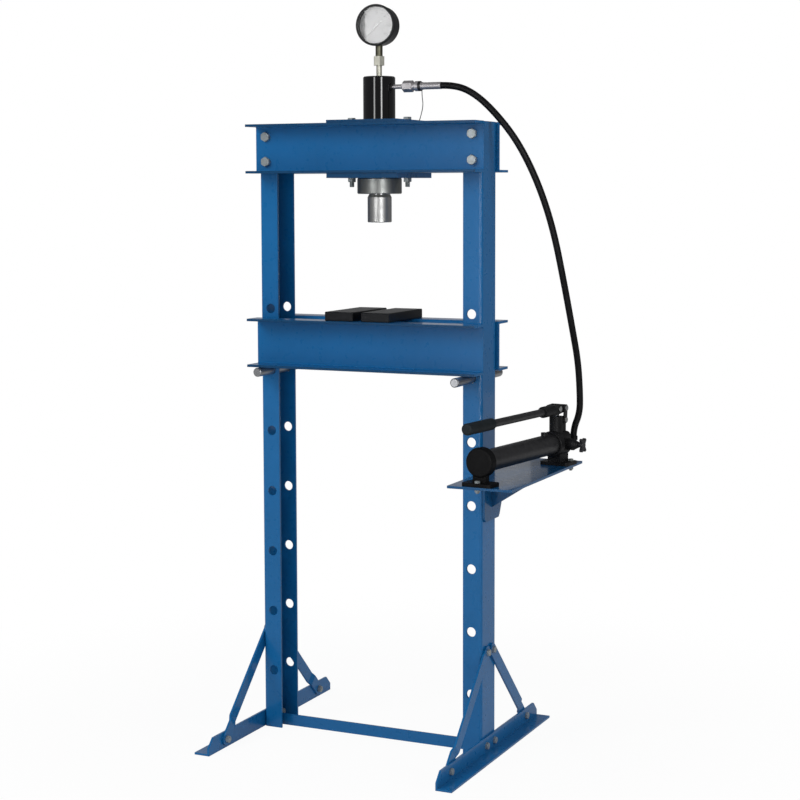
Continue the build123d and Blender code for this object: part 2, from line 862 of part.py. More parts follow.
def pump_shelf():
    """A plate welded to a bracket on the column's web, with one gusset under it."""
    low = shelf_top - shelf_wall
    plate = Pos(half_width, 0, low) * Box(
        shelf_width, shelf_back - shelf_front, shelf_wall,
        align=(Align.MIN, Align.CENTER, Align.MIN),
    )
    plate = Pos(0, (shelf_front + shelf_back) / 2, 0) * plate
    back = Polyline(
        (bracket_front, low),
        (bracket_back, low),
        (bracket_back, bracket_shoulder),
        (bracket_back - 14, bracket_low + 6),
        (bracket_back - 20, bracket_low),
        (bracket_front + 8, bracket_low),
        (bracket_front, bracket_low + 8),
        close=True,
    )
    side_plane = Plane(origin=(half_width, 0, 0), x_dir=(0, 1, 0), z_dir=(1, 0, 0))
    body = plate + extrude(make_face(side_plane * back), bracket_wall, dir=(1, 0, 0))
    start = half_width + bracket_wall
    gusset = Polyline((start, low), (start + gusset_reach, low), (start, gusset_low), close=True)
    gusset_plane = Plane(origin=(0, gusset_y, 0), x_dir=(1, 0, 0), z_dir=(0, -1, 0))
    body += extrude(make_face(gusset_plane * gusset), bracket_wall / 2, both=True)
    hole_radius = small_bolt_size / 2 + bolt_hole_gap
    for y, z in bracket_bolt_places():
        body -= rod((half_width - 1, y, z), (1, 0, 0), hole_radius, 2 * bracket_wall)
    for x, y in pump_bolt_places():
        hole = rod((x, y, -2 * shelf_wall), (0, 0, 1), pump_bolt_size / 2 + bolt_hole_gap, 3 * shelf_wall)
        body -= pump_place * hole
    return body


def bracket_bolts():
    """Bolts of the shelf's bracket, with their nuts inside the column."""
    grip = bracket_wall + column_wall + 0.8 * small_bolt_size + 2
    pieces = []
    for y, z in bracket_bolt_places():
        pieces.append(bolt((half_width + bracket_wall, y, z), (1, 0, 0), small_bolt_size, grip))
        pieces.append(nut((web_inside, y, z), (-1, 0, 0), small_bolt_size))
    return Compound(children=pieces)


def pump_bolt_places():
    """The pump's three bolts, in the pump's axes."""
    return [pump_bolt_front] + [(sign * pump_bolt_back_x, pump_bolt_back_y) for sign in (-1, 1)]


def pump_bolts():
    grip = pump_foot_wall + shelf_wall + 0.8 * pump_bolt_size + 3
    pieces = []
    for x, y in pump_bolt_places():
        pieces.append(pump_place * bolt((x, y, pump_foot_wall), (0, 0, 1), pump_bolt_size, grip))
        pieces.append(pump_place * nut((x, y, -shelf_wall), (0, 0, -1), pump_bolt_size))
    return Compound(children=pieces)


def along_y(start, end, radius, x=0.0, z=pump_axis):
    """A round bar along the pump, in the pump's axes."""
    return rod((x, start, z), (0, 1, 0), radius, end - start)


def across(half_length, radius, y, z):
    """A round bar across the pump, centred on it."""
    return rod((-half_length, y, z), (1, 0, 0), radius, 2 * half_length)


def block(width, front, back, low, high):
    """A box in the pump's axes, centred across it."""
    return Pos(0, (front + back) / 2, low) * Box(width, back - front, high - low, align=low_end)


def pump_foot(front, back, neck_front, neck_back):
    """A cast foot: a flat pad with rounded corners and the neck that rises from it."""
    pad = block(pump_foot_width, front, back, 0, pump_foot_wall)
    pad = fillet(pad.edges().filter_by(Axis.Z), 9)
    return pad + block(pump_neck_width, neck_front, neck_back, pump_foot_wall - 1, pump_axis)


def pump_end_cap():
    """The cast cap on the front of the reservoir, with its foot."""
    disc = along_y(end_cap_front, end_cap_back, end_cap_radius)
    disc = fillet(disc.edges().filter_by(GeomType.CIRCLE).sort_by(Axis.Y)[0], 6)
    body = disc + pump_foot(end_foot_front, end_foot_back, end_cap_front + 4, end_cap_back - 2)
    body -= along_y(tube_front - slip_gap, end_cap_back + 1, tube_diameter / 2 + slip_gap)
    x, y = pump_bolt_front
    body -= rod((x, y, -1), (0, 0, 1), pump_bolt_size / 2 + bolt_hole_gap, pump_foot_wall + 2)
    return pump_place * body


def reservoir_tube():
    tube = along_y(tube_front, tube_back, tube_diameter / 2)
    tube -= along_y(tube_front - 1, tube_back + 1, tube_diameter / 2 - tube_wall)
    tube -= rod((0, filler_y, pump_axis), (0, 0, 1), filler_radius - 2 + slip_gap, tube_diameter)
    return pump_place * tube


def filler_plug():
    """A round-headed plug in the top of the reservoir, cut to sit on the tube."""
    top = pump_axis + tube_diameter / 2
    plug = rod((0, filler_y, top - 3), (0, 0, 1), filler_radius, filler_height + 3)
    plug -= along_y(tube_front, tube_back, tube_diameter / 2)
    high = top + filler_height
    plug -= block(2.5, filler_y - 2 * filler_radius, filler_y + 2 * filler_radius, high - 2, high + 2)
    spigot = rod((0, filler_y, top - 6), (0, 0, 1), filler_radius - 2, 8)
    return pump_place * (plug + spigot)


def pump_head():
    """The cast head: flange for the reservoir, block, plunger gland, lug, valve boss, outlet and foot."""
    flange = along_y(head_front - tube_socket - 4, head_front + 4, 31)
    flange = fillet(flange.edges().filter_by(GeomType.CIRCLE).sort_by(Axis.Y)[0], 3)
    core = block(head_width, head_front, head_back, head_low, head_top)
    core = fillet(core.edges().filter_by(Axis.Y), 12)
    core = fillet(core.edges().group_by(Axis.Y)[-1], 4)
    body = flange + core + pump_foot(head_front + 2, head_back + 8, head_front + 6, head_back - 4)
    body += rod((0, gland_y, head_top - 20), (0, 0, 1), gland_radius, gland_top - head_top + 20)
    body += block(lever_width, link_pivot_y - link_eye, link_pivot_y + link_eye, head_top - 6, link_pivot_z)
    body += across(lever_width / 2, link_eye, link_pivot_y, link_pivot_z)
    body += rod((0, valve_y, valve_z), (1, 0, 0), valve_boss_radius, valve_boss_end)
    cone = Cone(valve_boss_radius - 1, valve_cone_radius, valve_cone_end - valve_boss_end, align=low_end)
    body += Plane(origin=(valve_boss_end, valve_y, valve_z), z_dir=(1, 0, 0)) * cone
    body += along_y(head_back - 4, head_back + 8, outlet_radius + 2, outlet_x, outlet_z)
    bore = plunger_diameter / 2 + running_gap
    body -= rod((0, gland_y, pump_bore_floor), (0, 0, 1), bore, gland_top)
    body -= across(lever_width, pin_radius + running_gap, link_pivot_y, link_pivot_z)
    spindle = spindle_diameter / 2 + running_gap
    body -= rod((spindle_depth, valve_y, valve_z), (1, 0, 0), spindle, valve_cone_end)
    body -= along_y(tube_front, tube_back + slip_gap, tube_diameter / 2 + slip_gap)
    body -= along_y(head_back - 4, head_back + 9, outlet_radius - 2 + slip_gap, outlet_x, outlet_z)
    for sign in (-1, 1):
        start = (sign * pump_bolt_back_x, pump_bolt_back_y, -1)
        body -= rod(start, (0, 0, 1), pump_bolt_size / 2 + bolt_hole_gap, pump_foot_wall + 2)
    return pump_place * body


def pump_plunger():
    """The pump's plunger: a ground rod with a flat tongue on top."""
    bar = rod((0, gland_y, plunger_low), (0, 0, 1), plunger_diameter / 2, plunger_shoulder - plunger_low)
    half = tongue_length / 2
    tongue = block(tongue_width, gland_y - half, gland_y + half, plunger_shoulder - 1, pivot_z)
    tongue += across(tongue_width / 2, half, gland_y, pivot_z)
    body = bar + tongue
    return pump_place * (body - across(tongue_width, pin_radius + slip_gap, gland_y, pivot_z))


def headed_pin(half_length, y, z):
    """A pivot pin with a flat round head at each end."""
    pin = across(half_length + pin_head_wall, pin_radius, y, z)
    for sign in (-1, 1):
        pin += rod((sign * half_length, y, z), (sign, 0, 0), pin_head_radius, pin_head_wall)
    return pin


def plunger_pin():
    return pump_place * headed_pin(lever_width / 2 + tongue_gap, gland_y, pivot_z)


def link_plates():
    """Two waisted plates, one on each side, that carry the lever's rear pivot."""
    lower = Vector(link_pivot_y, link_pivot_z)
    upper = Vector(lever_pivot_y, pivot_z)
    middle = (lower + upper) / 2
    lean = 90 - (upper - lower).get_angle(Vector(1, 0))
    profile = Pos(lower.X, lower.Y) * Circle(link_eye) + Pos(upper.X, upper.Y) * Circle(link_eye)
    profile += Pos(middle.X, middle.Y) * Rot(0, 0, -lean) * Rectangle(link_waist, (upper - lower).length)
    for end in (lower, upper):
        profile -= Pos(end.X, end.Y) * Circle(pin_radius + slip_gap)
    pieces = []
    for sign in (-1, 1):
        start = lever_width / 2 + tongue_gap + (0 if sign > 0 else link_wall)
        plane = Plane(origin=(sign * start, 0, 0), x_dir=(0, 1, 0), z_dir=(1, 0, 0))
        pieces.append(pump_place * extrude(plane * profile, link_wall, dir=(1, 0, 0)))
    return Compound(children=pieces)


def link_pins():
    reach = lever_width / 2 + 2 * tongue_gap + link_wall
    places = ((link_pivot_y, link_pivot_z), (lever_pivot_y, pivot_z))
    return Compound(children=[pump_place * headed_pin(reach, y, z) for y, z in places])


def lever_socket():
    """The cast lever: forked round the plunger's tongue, with a socket for the handle."""
    plane = Plane(origin=(-lever_width / 2, 0, 0), x_dir=(0, 1, 0), z_dir=(1, 0, 0))
    neck = Polyline(
        (socket_back - 8, socket_axis - socket_radius + 1),
        (gland_y, pivot_z - lever_boss),
        (lever_pivot_y, pivot_z - link_eye),
        (lever_pivot_y, pivot_z + link_eye),
        (gland_y, pivot_z + lever_boss),
        (socket_back - 8, socket_axis + socket_radius - 1),
        close=True,
    )
    profile = make_face(neck) + Pos(gland_y, pivot_z) * Circle(lever_boss)
    profile += Pos(lever_pivot_y, pivot_z) * Circle(link_eye)
    body = extrude(plane * profile, lever_width, dir=(1, 0, 0))
    barrel = along_y(socket_front, socket_back, socket_radius, 0, socket_axis)
    body += fillet(barrel.edges().filter_by(GeomType.CIRCLE), 2)
    slot_width = tongue_width + 2 * tongue_gap
    body -= block(slot_width, lever_slot_front, lever_slot_back, pivot_z - 20, pivot_z + 20)
    body -= across(lever_width, plunger_hole_radius, gland_y, pivot_z)
    body -= across(lever_width, pin_radius + running_gap, lever_pivot_y, pivot_z)
    bore = handle_diameter / 2 + slip_gap
    body -= along_y(socket_front - 1, socket_front + socket_depth, bore, 0, socket_axis)
    return pump_place * body


def handle_rod():
    end = socket_front + socket_depth - 1
    return pump_place * along_y(handle_front, end, handle_diameter / 2, 0, socket_axis)


def handle_grip():
    """A moulded sleeve with a closed, rounded end and a thicker rim at the back."""
    body = along_y(grip_front, grip_back, grip_radius, 0, socket_axis)
    body = fillet(body.edges().filter_by(GeomType.CIRCLE).sort_by(Axis.Y)[0], 5)
    body = fillet(body.edges().filter_by(GeomType.CIRCLE).sort_by(Axis.Y)[-1], 2)
    bore = handle_diameter / 2 + slip_gap
    return pump_place * (body - along_y(handle_front - slip_gap, grip_back + 1, bore, 0, socket_axis))


def release_spindle():
    """The valve's spindle, from its seat in the head to the knob."""
    start = spindle_depth + 1
    length = knob_start + 1 - start
    return pump_place * rod((start, valve_y, valve_z), (1, 0, 0), spindle_diameter / 2, length)


def release_knob():
    """A four-armed knob with rounded arms on a hub."""
    plane = Plane(origin=(knob_start, valve_y, valve_z), x_dir=(0, 1, 0), z_dir=(1, 0, 0))
    face = Circle(knob_hub)
    for angle in (knob_spread, 180 - knob_spread):
        face += Rot(0, 0, angle) * SlotOverall(knob_diameter, knob_arm)
    body = extrude(face, knob_end - knob_start)
    body = chamfer(body.edges().group_by(Axis.Z)[-1], 1.5)
    body += Pos(0, 0, 1 - valve_cone_radius) * Cylinder(knob_hub - 2, valve_cone_radius, align=low_end)
    body -= Cylinder(spindle_diameter / 2 + slip_gap, 2 * valve_cone_radius)
    return pump_place * (plane * body)


def hose_elbow():
    """The outlet elbow behind the head, turned up to the hose."""
    spigot = along_y(head_back - 4 + slip_gap, head_back + 9, outlet_radius - 2, outlet_x, outlet_z)
    level = along_y(head_back + 8, outlet_y, outlet_radius, outlet_x, outlet_z)
    upright = rod((outlet_x, outlet_y, outlet_z), (0, 0, 1), outlet_radius, outlet_top - outlet_z)
    knee = Pos(outlet_x, outlet_y, outlet_z) * Sphere(outlet_radius)
    collar = hexagon((outlet_x, outlet_y, outlet_top - 9), (0, 0, 1), 19, 9)
    nut_behind = hexagon((outlet_x, head_back + 8, outlet_z), (0, 1, 0), 19, 9)
    return pump_place * (spigot + level + upright + knee + collar + nut_behind)


parts = {
    "column_left": column(-1),
    "column_right": column(1),
    "top_beam_front": top_beam(-1),
    "top_beam_rear": top_beam(1),
    "beam_bolts": beam_bolts(),
    "bed_channel_front": cross_channel(-1, bed_top, bed_side_gap),
    "bed_channel_rear": cross_channel(1, bed_top, bed_side_gap),
    "bed_spacers": bed_spacers(),
    "bed_pin_left": bed_pin(-1, pin_reach_left),
    "bed_pin_right": bed_pin(1, pin_reach_right),
    "arbor_plate_left": arbor_plate(-1),
    "arbor_plate_right": arbor_plate(1),
    "foot_left": foot(-1),
    "foot_right": foot(1),
    "brace_left_front": brace(-1, -1),
    "brace_left_rear": brace(-1, 1),
    "brace_right_front": brace(1, -1),
    "brace_right_rear": brace(1, 1),
    "foot_bolts": foot_bolts(),
    "spreader_bar": spreader_bar(),
    "cylinder_plate_top": clamp_plate(frame_height, top_plate_wall, cylinder_diameter / 2 + bolt_hole_gap),
    "cylinder_plate_bottom": clamp_plate(plate_bottom, plate_wall, spigot_diameter / 2 + bolt_hole_gap),
    "plate_bolts": plate_bolts(),
    "plate_nuts": plate_nuts(),
    "cylinder_body": cylinder_body(),
    "cylinder_ring_nut": cylinder_ring_nut(),
    "cylinder_gland": cylinder_gland(),
    "ram": ram(),
    "ram_seal": ram_seal(),
    "ram_nose": ram_nose(),
    "return_spring": return_spring(),
    "gauge_case": gauge_case(),
    "gauge_dial": gauge_dial(),
    "gauge_glass": gauge_glass(),
    "gauge_needle": gauge_needle(),
    "gauge_stem": gauge_stem(),
    "gauge_union": gauge_union(),
    "coupler_nipple": coupler_nipple(),
    "coupler_body": coupler_body(),
    "coupler_sleeve": coupler_sleeve(),
    "hose_ferrule": hose_ferrule(),
    "hose": hose(),
    "hose_elbow": hose_elbow(),
    "cap_tether": cap_tether(),
    "dust_cap": dust_cap(),
    "pump_shelf": pump_shelf(),
    "bracket_bolts": bracket_bolts(),
    "pump_bolts": pump_bolts(),
    "pump_end_cap": pump_end_cap(),
    "reservoir_tube": reservoir_tube(),
    "filler_plug": filler_plug(),
    "pump_head": pump_head(),
    "pump_plunger": pump_plunger(),
    "plunger_pin": plunger_pin(),
    "link_plates": link_plates(),
    "link_pins": link_pins(),
    "lever_socket": lever_socket(),
    "handle_rod": handle_rod(),
    "handle_grip": handle_grip(),
    "release_knob": release_knob() + release_spindle(),
}

os.makedirs("parts", exist_ok=True)
for name, shape in parts.items():
    export_step(shape, f"parts/{name}.step")
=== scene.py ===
"""Looks of a floor-standing hydraulic shop press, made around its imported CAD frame."""

import math

import bmesh
import bpy
from mathutils import Matrix, Vector


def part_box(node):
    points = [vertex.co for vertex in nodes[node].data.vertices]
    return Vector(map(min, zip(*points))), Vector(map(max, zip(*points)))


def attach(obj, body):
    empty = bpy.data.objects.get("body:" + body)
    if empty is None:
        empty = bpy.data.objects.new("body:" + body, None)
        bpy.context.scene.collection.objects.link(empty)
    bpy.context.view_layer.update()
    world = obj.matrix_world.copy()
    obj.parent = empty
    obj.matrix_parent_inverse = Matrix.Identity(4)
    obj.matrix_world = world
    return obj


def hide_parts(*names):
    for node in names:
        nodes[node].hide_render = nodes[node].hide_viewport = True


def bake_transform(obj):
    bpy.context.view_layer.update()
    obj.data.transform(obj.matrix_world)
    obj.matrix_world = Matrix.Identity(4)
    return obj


bl_info = {
    "name": "Shop Press Dresser",
    "version": (1, 0, 0),
    "blender": (4, 5, 0),
    "location": "View3D > Sidebar > Press",
    "description": "Dresses the CAD frame of a hydraulic shop press",
    "category": "Object",
}

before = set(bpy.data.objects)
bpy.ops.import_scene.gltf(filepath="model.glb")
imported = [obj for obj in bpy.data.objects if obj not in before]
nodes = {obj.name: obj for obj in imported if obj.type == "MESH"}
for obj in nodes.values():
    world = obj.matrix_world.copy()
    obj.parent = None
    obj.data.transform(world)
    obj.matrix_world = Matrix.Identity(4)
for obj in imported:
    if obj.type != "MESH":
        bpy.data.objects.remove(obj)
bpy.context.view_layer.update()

# Places that the CAD frame fixes, in metres
CYLINDER_X = 0.010
CHAMBER_TOP = 1.594
GAUGE_Z = 1.731
GAUGE_TURN = math.radians(6.0)
DIAL_FRONT = 0.0162
COUPLER_Z = 1.586
HOSE_ROUTE = (
    (0.172, 0.0, 1.586),
    (0.210, 0.0, 1.586),
    (0.260, 0.001, 1.563),
    (0.310, 0.004, 1.517),
    (0.360, 0.016, 1.451),
    (0.399, 0.042, 1.359),
    (0.425, 0.076, 1.250),
    (0.4405, 0.112, 1.117),
    (0.448, 0.150, 1.008),
    (0.450, 0.187, 0.926),
    (0.4495, 0.203, 0.846),
    (0.4465, 0.2105, 0.800),
    (0.431346, 0.20993, 0.762),
    (0.431346, 0.20993, 0.743),
)
TETHER_ROUTE = (
    (0.122, 0.0, 1.5765),
    (0.122, 0.0, 1.562),
    (0.125, 0.001, 1.541),
    (0.117, 0.003, 1.513),
    (0.106, 0.003, 1.485),
    (0.106, 0.003, 1.462),
)

# Where the dark band of the coupler's sleeve begins, as a share of its length
SLEEVE_BAND = 0.62

# How round and how finely stepped a cord's mesh is
CORD_ROUNDNESS = 6
CORD_STEPS = 12

# How deep the darkened edge of a flange reaches: partly thin paint on the cut edge, partly painted shade
EDGE_SKIN = 0.0006

# The return spring and the steps of its mesh
SPRING_LENGTH = 0.18
SPRING_RADIUS = 0.0115
SPRING_WIRE = 0.0015
SPRING_STEPS = 24
WIRE_STEPS = 8

# The dial's print: each row of marks as its radius, length and width, then the numbers
SHORT_MARKS = (0.0385, 0.0026, 0.00035)
LONG_MARKS = (0.0372, 0.0052, 0.0009)
PRINT_THICKNESS = 0.00012
PRINT_GAP = 0.00008
NUMBER_RADIUS = 0.0288
NUMBER_SIZE = 0.0072
NUMBER_STEP = 10

# The thread's diameter in each node of bolts or nuts
THREAD_SIZES = {
    "beam_bolts": 0.014,
    "foot_bolts": 0.010,
    "plate_bolts": 0.012,
    "plate_nuts": 0.012,
    "bracket_bolts": 0.010,
    "pump_bolts": 0.008,
}

# Shares of the thread's diameter that tell a fastener's form: the two widths of a hexagon differ by less
# than the first, a bolt is longer than the second, and a hexagon's corners lie further out than the third
ALIKE_SHARE = 0.24
BOLT_SHARE = 1.2
HEXAGON_SHARE = 0.8

# Corners closer than the first are merged, and levels closer than the second count as one
SAME_PLACE = 1e-5
SAME_LEVEL = 1e-4

# Edges sharper than these angles stay sharp
HEXAGON_ANGLE = math.radians(25)
THREAD_ANGLE = math.radians(50)
SPRING_ANGLE = math.radians(60)

# The camera that took the photograph
CAMERA_PLACE = (1.87297, -3.89354, 1.34181)
CAMERA_TURN = math.radians(24.933)
CAMERA_DIP = math.radians(4.991)
CAMERA_ROLL = math.radians(-0.155)
CAMERA_LENS = 80.57
CAMERA_SENSOR = 36.0
CAMERA_SHIFT = -0.06733
CAMERA_NEAR = 0.1
CAMERA_FAR = 100.0

# Where the lamps point
PRESS_MIDDLE = (0, 0, 0.9)
PRESS_HEAD = (0, 0, 1.4)
PUMP_SIDE = (0.2, 0, 0.9)

# Each lamp's name, azimuth, elevation, distance, size, power and aim: first those that light the press and
# aren't mirrored in it, then those that are only mirrored
LIGHTING_LAMPS = (
    ("key", -28, 32, 4.2, (1.8, 1.8), 70, PRESS_MIDDLE),
    ("front", 12, 12, 4.6, (2.2, 1.4), 32, PRESS_MIDDLE),
    ("top", 0, 84, 3.6, (2.4, 2.4), 8, PRESS_MIDDLE),
    ("side", 95, 18, 4.2, (1.6, 2.0), 40, PRESS_MIDDLE),
)
MIRRORED_LAMPS = (
    ("strip_left", -9.1, 2, 3.4, (0.594, 2.6), 29.4, PRESS_HEAD),
    ("strip_right", 42.0, 2, 3.4, (0.55, 2.6), 45, PRESS_HEAD),
    ("back_card", 211.2, 6, 4.0, (1.85, 1.6), 2.6, PUMP_SIDE),
)

# The strength of the sky's light, and of the sky and the floor as the press mirrors them
SKY_COLOUR = (0.97, 0.98, 1.0)
SKY_LIGHT = 0.36
MIRRORED_SKY = 0.16
MIRRORED_FLOOR = 0.4

# The floor as the camera sees it: this share is plain white up to the near distance, and all past the far
FLOOR_WHITE = 0.94
FLOOR_NEAR = 0.5
FLOOR_FAR = 1.6
FLOOR_SIZE = 7.0
FLOOR_DROP = 0.0005


class PressSettings(bpy.types.PropertyGroup):
    """Sizes and colours of the press that a user would change."""

    frame_colour: bpy.props.FloatVectorProperty(
        name="Frame colour", description="Enamel of the frame", subtype="COLOR",
        size=3, min=0, max=1, default=(0.005, 0.122, 0.330),
    )
    pump_colour: bpy.props.FloatVectorProperty(
        name="Pump colour", description="Paint of the pump's castings", subtype="COLOR",
        size=3, min=0, max=1, default=(0.0085, 0.0085, 0.0095),
    )
    hose_diameter: bpy.props.FloatProperty(
        name="Hose diameter", description="Outer diameter of the hose", unit="LENGTH",
        min=0.006, max=0.03, default=0.016,
    )
    tether_diameter: bpy.props.FloatProperty(
        name="Tether diameter", description="Diameter of the dust cap's wire", unit="LENGTH",
        min=0.001, max=0.005, default=0.002,
    )
    dial_steps: bpy.props.IntProperty(
        name="Dial steps", description="Numbered steps of the gauge", min=4, max=10, default=6,
    )
    dial_small_steps: bpy.props.IntProperty(
        name="Small steps", description="Short marks between two numbers", min=2, max=10, default=10,
    )
    dial_sweep: bpy.props.FloatProperty(
        name="Dial sweep", description="Angle from the first mark to the last", subtype="ANGLE",
        min=math.radians(90), max=math.radians(330), default=math.radians(270),
    )
    spring_turns: bpy.props.IntProperty(
        name="Spring turns", description="Turns of the return spring", min=10, max=80, default=58,
    )
    thread_pitch: bpy.props.FloatProperty(
        name="Thread pitch", description="Pitch as a share of the thread's diameter",
        min=0.08, max=0.3, default=0.15,
    )


# Node trees, written as expressions


class Wire:
    """A socket in a node tree; arithmetic on it adds Math nodes."""

    def __init__(self, owner, socket):
        self.owner = owner
        self.socket = socket

    def math(self, operation, *others):
        return self.owner.node("ShaderNodeMath", {"operation": operation}, self, *others)

    def __add__(self, other):
        return self.math("ADD", other)

    def __sub__(self, other):
        return self.math("SUBTRACT", other)

    def __rsub__(self, other):
        return self * -1.0 + other

    def __mul__(self, other):
        return self.math("MULTIPLY", other)

    def __gt__(self, other):
        return self.math("GREATER_THAN", other)

    def __abs__(self):
        return self.math("ABSOLUTE")

    __radd__ = __add__
    __rmul__ = __mul__


class Tree:
    """A node tree, emptied and then filled by expressions."""

    def __init__(self, tree):
        self.tree = tree
        tree.nodes.clear()

    def node(self, kind, settings, *values, output=0, **named):
        """Adds a node, sets its settings first, and then its inputs by order or by name."""
        made = self.tree.nodes.new(kind)
        for key, value in settings.items():
            if key == "stops":
                self.set_stops(made.color_ramp, value)
            else:
                setattr(made, key, value)
        inputs = list(enumerate(values))
        inputs += [(key.replace("_", " "), value) for key, value in named.items()]
        for key, value in inputs:
            if isinstance(value, Wire):
                self.tree.links.new(value.socket, made.inputs[key])
            elif value is not None:
                made.inputs[key].default_value = value
        return Wire(self, made.outputs[output]) if len(made.outputs) else None

    def set_stops(self, ramp, stops):
        while len(ramp.elements) < len(stops):
            ramp.elements.new(0.5)
        for element, (position, value) in zip(ramp.elements, stops):
            element.position = position
            element.color = (value, value, value, 1)

    def rays(self, *kinds):
        """For each kind of ray, a value that is 1 for such rays and 0 for others."""
        path = self.tree.nodes.new("ShaderNodeLightPath")
        return [Wire(self, path.outputs[f"Is {kind} Ray"]) for kind in kinds]


class Finish(Tree):
    """One material: a Principled shader and the nodes that feed it."""

    def __init__(self, name):
        self.material = bpy.data.materials.new(name)
        self.material.use_nodes = True
        super().__init__(self.material.node_tree)
        self.place = self.node("ShaderNodeTexCoord", {}, output="Object")

    def stretched(self, scale, centre):
        """The piece's own coordinates, moved to a centre and stretched."""
        offset = Matrix.Diagonal((*scale, 1)) @ Matrix.Translation([-c for c in centre])
        return self.node(
            "ShaderNodeMapping", {}, Vector=self.place, Scale=scale, Location=offset.to_translation(),
        )

    def noise(self, scale, detail=3.0, rough=0.55, where=None):
        vector = self.place if where is None else where
        return self.node(
            "ShaderNodeTexNoise", {}, Vector=vector, Scale=scale, Detail=detail, Roughness=rough,
        )

    def cells(self, scale):
        return self.node("ShaderNodeTexVoronoi", {"feature": "F1"}, Vector=self.place, Scale=scale)

    def ramp(self, value, *stops):
        """A value passed through a ramp of (position, value) stops."""
        return self.node("ShaderNodeValToRGB", {"stops": stops}, value)

    def blend(self, factor, first, second):
        """A colour between two colours."""
        made = self.tree.nodes.new("ShaderNodeMix")
        made.data_type = "RGBA"
        for index, value in ((0, factor), (6, first), (7, second)):
            if isinstance(value, Wire):
                self.tree.links.new(value.socket, made.inputs[index])
            elif index:
                made.inputs[index].default_value = (*value[:3], 1)
            else:
                made.inputs[index].default_value = value
        return Wire(self, made.outputs[2])

    def axis(self, name, vector=None):
        """One of a vector's parts, X, Y or Z."""
        return self.node("ShaderNodeSeparateXYZ", {}, vector or self.place, output=name)

    def edges(self, radius):
        """The normal with its edges rounded over a radius."""
        return self.node("ShaderNodeBevel", {"samples": 4}, Radius=radius)

    def bump(self, height, distance, strength, normal=None):
        return self.node(
            "ShaderNodeBump", {}, Strength=strength, Distance=distance, Height=height, Normal=normal,
        )

    def done(self, **inputs):
        """Ends the tree in a Principled shader with these inputs."""
        shader = self.node("ShaderNodeBsdfPrincipled", {}, **inputs)
        self.node("ShaderNodeOutputMaterial", {}, shader)
        return self.material


def rgb(*values):
    return (*values, 1.0)


def shade(colour, factor):
    return tuple(min(1.0, c * factor) for c in colour)


def enamel(name, colour, edge_shade_from=None, relief=0.5):
    """Sprayed gloss enamel on steel: a ripple, faint clouds, and, past a depth on Y, flange edges darkened
    partly by thin paint on the cut edge and partly by painted shade.
    """
    f = Finish(name)
    clouds = f.noise(5.0, 4.0)
    fine = f.noise(60.0, 3.0)
    ripple = f.noise(420.0, 2.0, 0.5)
    base = f.blend(f.ramp(clouds, (0.3, 0.0), (0.7, 1.0)), shade(colour, 0.93), shade(colour, 1.07))
    base = f.blend(f.ramp(fine, (0.55, 0.0), (0.8, 0.5)), base, shade(colour, 1.08))
    if edge_shade_from:
        # Past the depth on Y the colour falls to 0.3 of the enamel: partly thin paint on the cut flange
        # edge, partly painted shade of that edge and of the shadow under the flange
        base = f.blend((abs(f.axis("Y")) > edge_shade_from) * (0.72 + clouds * 0.3), base, shade(colour, 0.30))
    rough = 0.24 + f.ramp(fine, (0.35, 0.0), (0.75, 1.0)) * 0.10 + clouds * 0.05
    normal = f.bump(ripple + fine * 0.6, 0.00002, relief, f.edges(0.0011))
    return f.done(
        Base_Color=base, Roughness=rough, Specular_IOR_Level=0.2, Coat_Weight=0.45, Coat_Roughness=0.07,
        Normal=normal,
    )


def casting(name, colour, grain=320.0, rough=0.42, sheen=0.22):
    """Painted sand casting: a pebbled skin with soft edges."""
    f = Finish(name)
    pebbles = f.noise(grain, 4.0, 0.6)
    lumps = f.noise(grain / 9, 2.0)
    base = f.blend(f.ramp(lumps, (0.35, 0.0), (0.7, 1.0)), shade(colour, 0.8), shade(colour, 1.5))
    roughness = rough + f.ramp(pebbles, (0.3, 0.0), (0.7, 1.0)) * 0.14
    normal = f.bump(pebbles + lumps * 0.8, 0.00035, 0.7, f.edges(0.0012))
    return f.done(Base_Color=base, Roughness=roughness, Specular_IOR_Level=sheen, Normal=normal)


def gloss(name, colour):
    """Deep gloss paint over a turned barrel."""
    f = Finish(name)
    clouds = f.noise(9.0, 3.0)
    ripple = f.noise(150.0, 2.0)
    base = f.blend(clouds, shade(colour, 0.8), shade(colour, 1.5))
    rough = 0.06 + f.ramp(clouds, (0.4, 0.0), (0.8, 1.0)) * 0.04
    normal = f.bump(ripple, 0.00003, 0.4, f.edges(0.001))
    return f.done(Base_Color=base, Roughness=rough, Coat_Weight=0.3 + clouds * 0.2, Normal=normal)


def turned_steel(name, colour, rough, centre, axis="Z", metal=1.0, dark_from=None):
    """Bright turned steel with fine tool marks round its axis, and a dark band past a place on X."""
    f = Finish(name)
    lines = [2400.0 if letter == axis else 12.0 for letter in "XYZ"]
    marks = f.noise(1.0, 3.0, 0.7, f.stretched(lines, centre))
    stains = f.noise(28.0, 4.0)
    base = f.blend(f.ramp(stains, (0.45, 0.0), (0.8, 1.0)), colour, shade(colour, 0.78))
    base = f.blend(marks * 0.25, base, shade(colour, 0.6))
    if dark_from:
        base = f.blend(f.axis("X") > dark_from, base, shade(colour, 0.08))
    roughness = rough + marks * 0.14 + f.ramp(stains, (0.5, 0.0), (0.8, 1.0)) * 0.08
    normal = f.bump(marks, 0.00004, 0.5, f.edges(0.0007))
    return f.done(Base_Color=base, Roughness=roughness, Metallic=metal, Normal=normal)


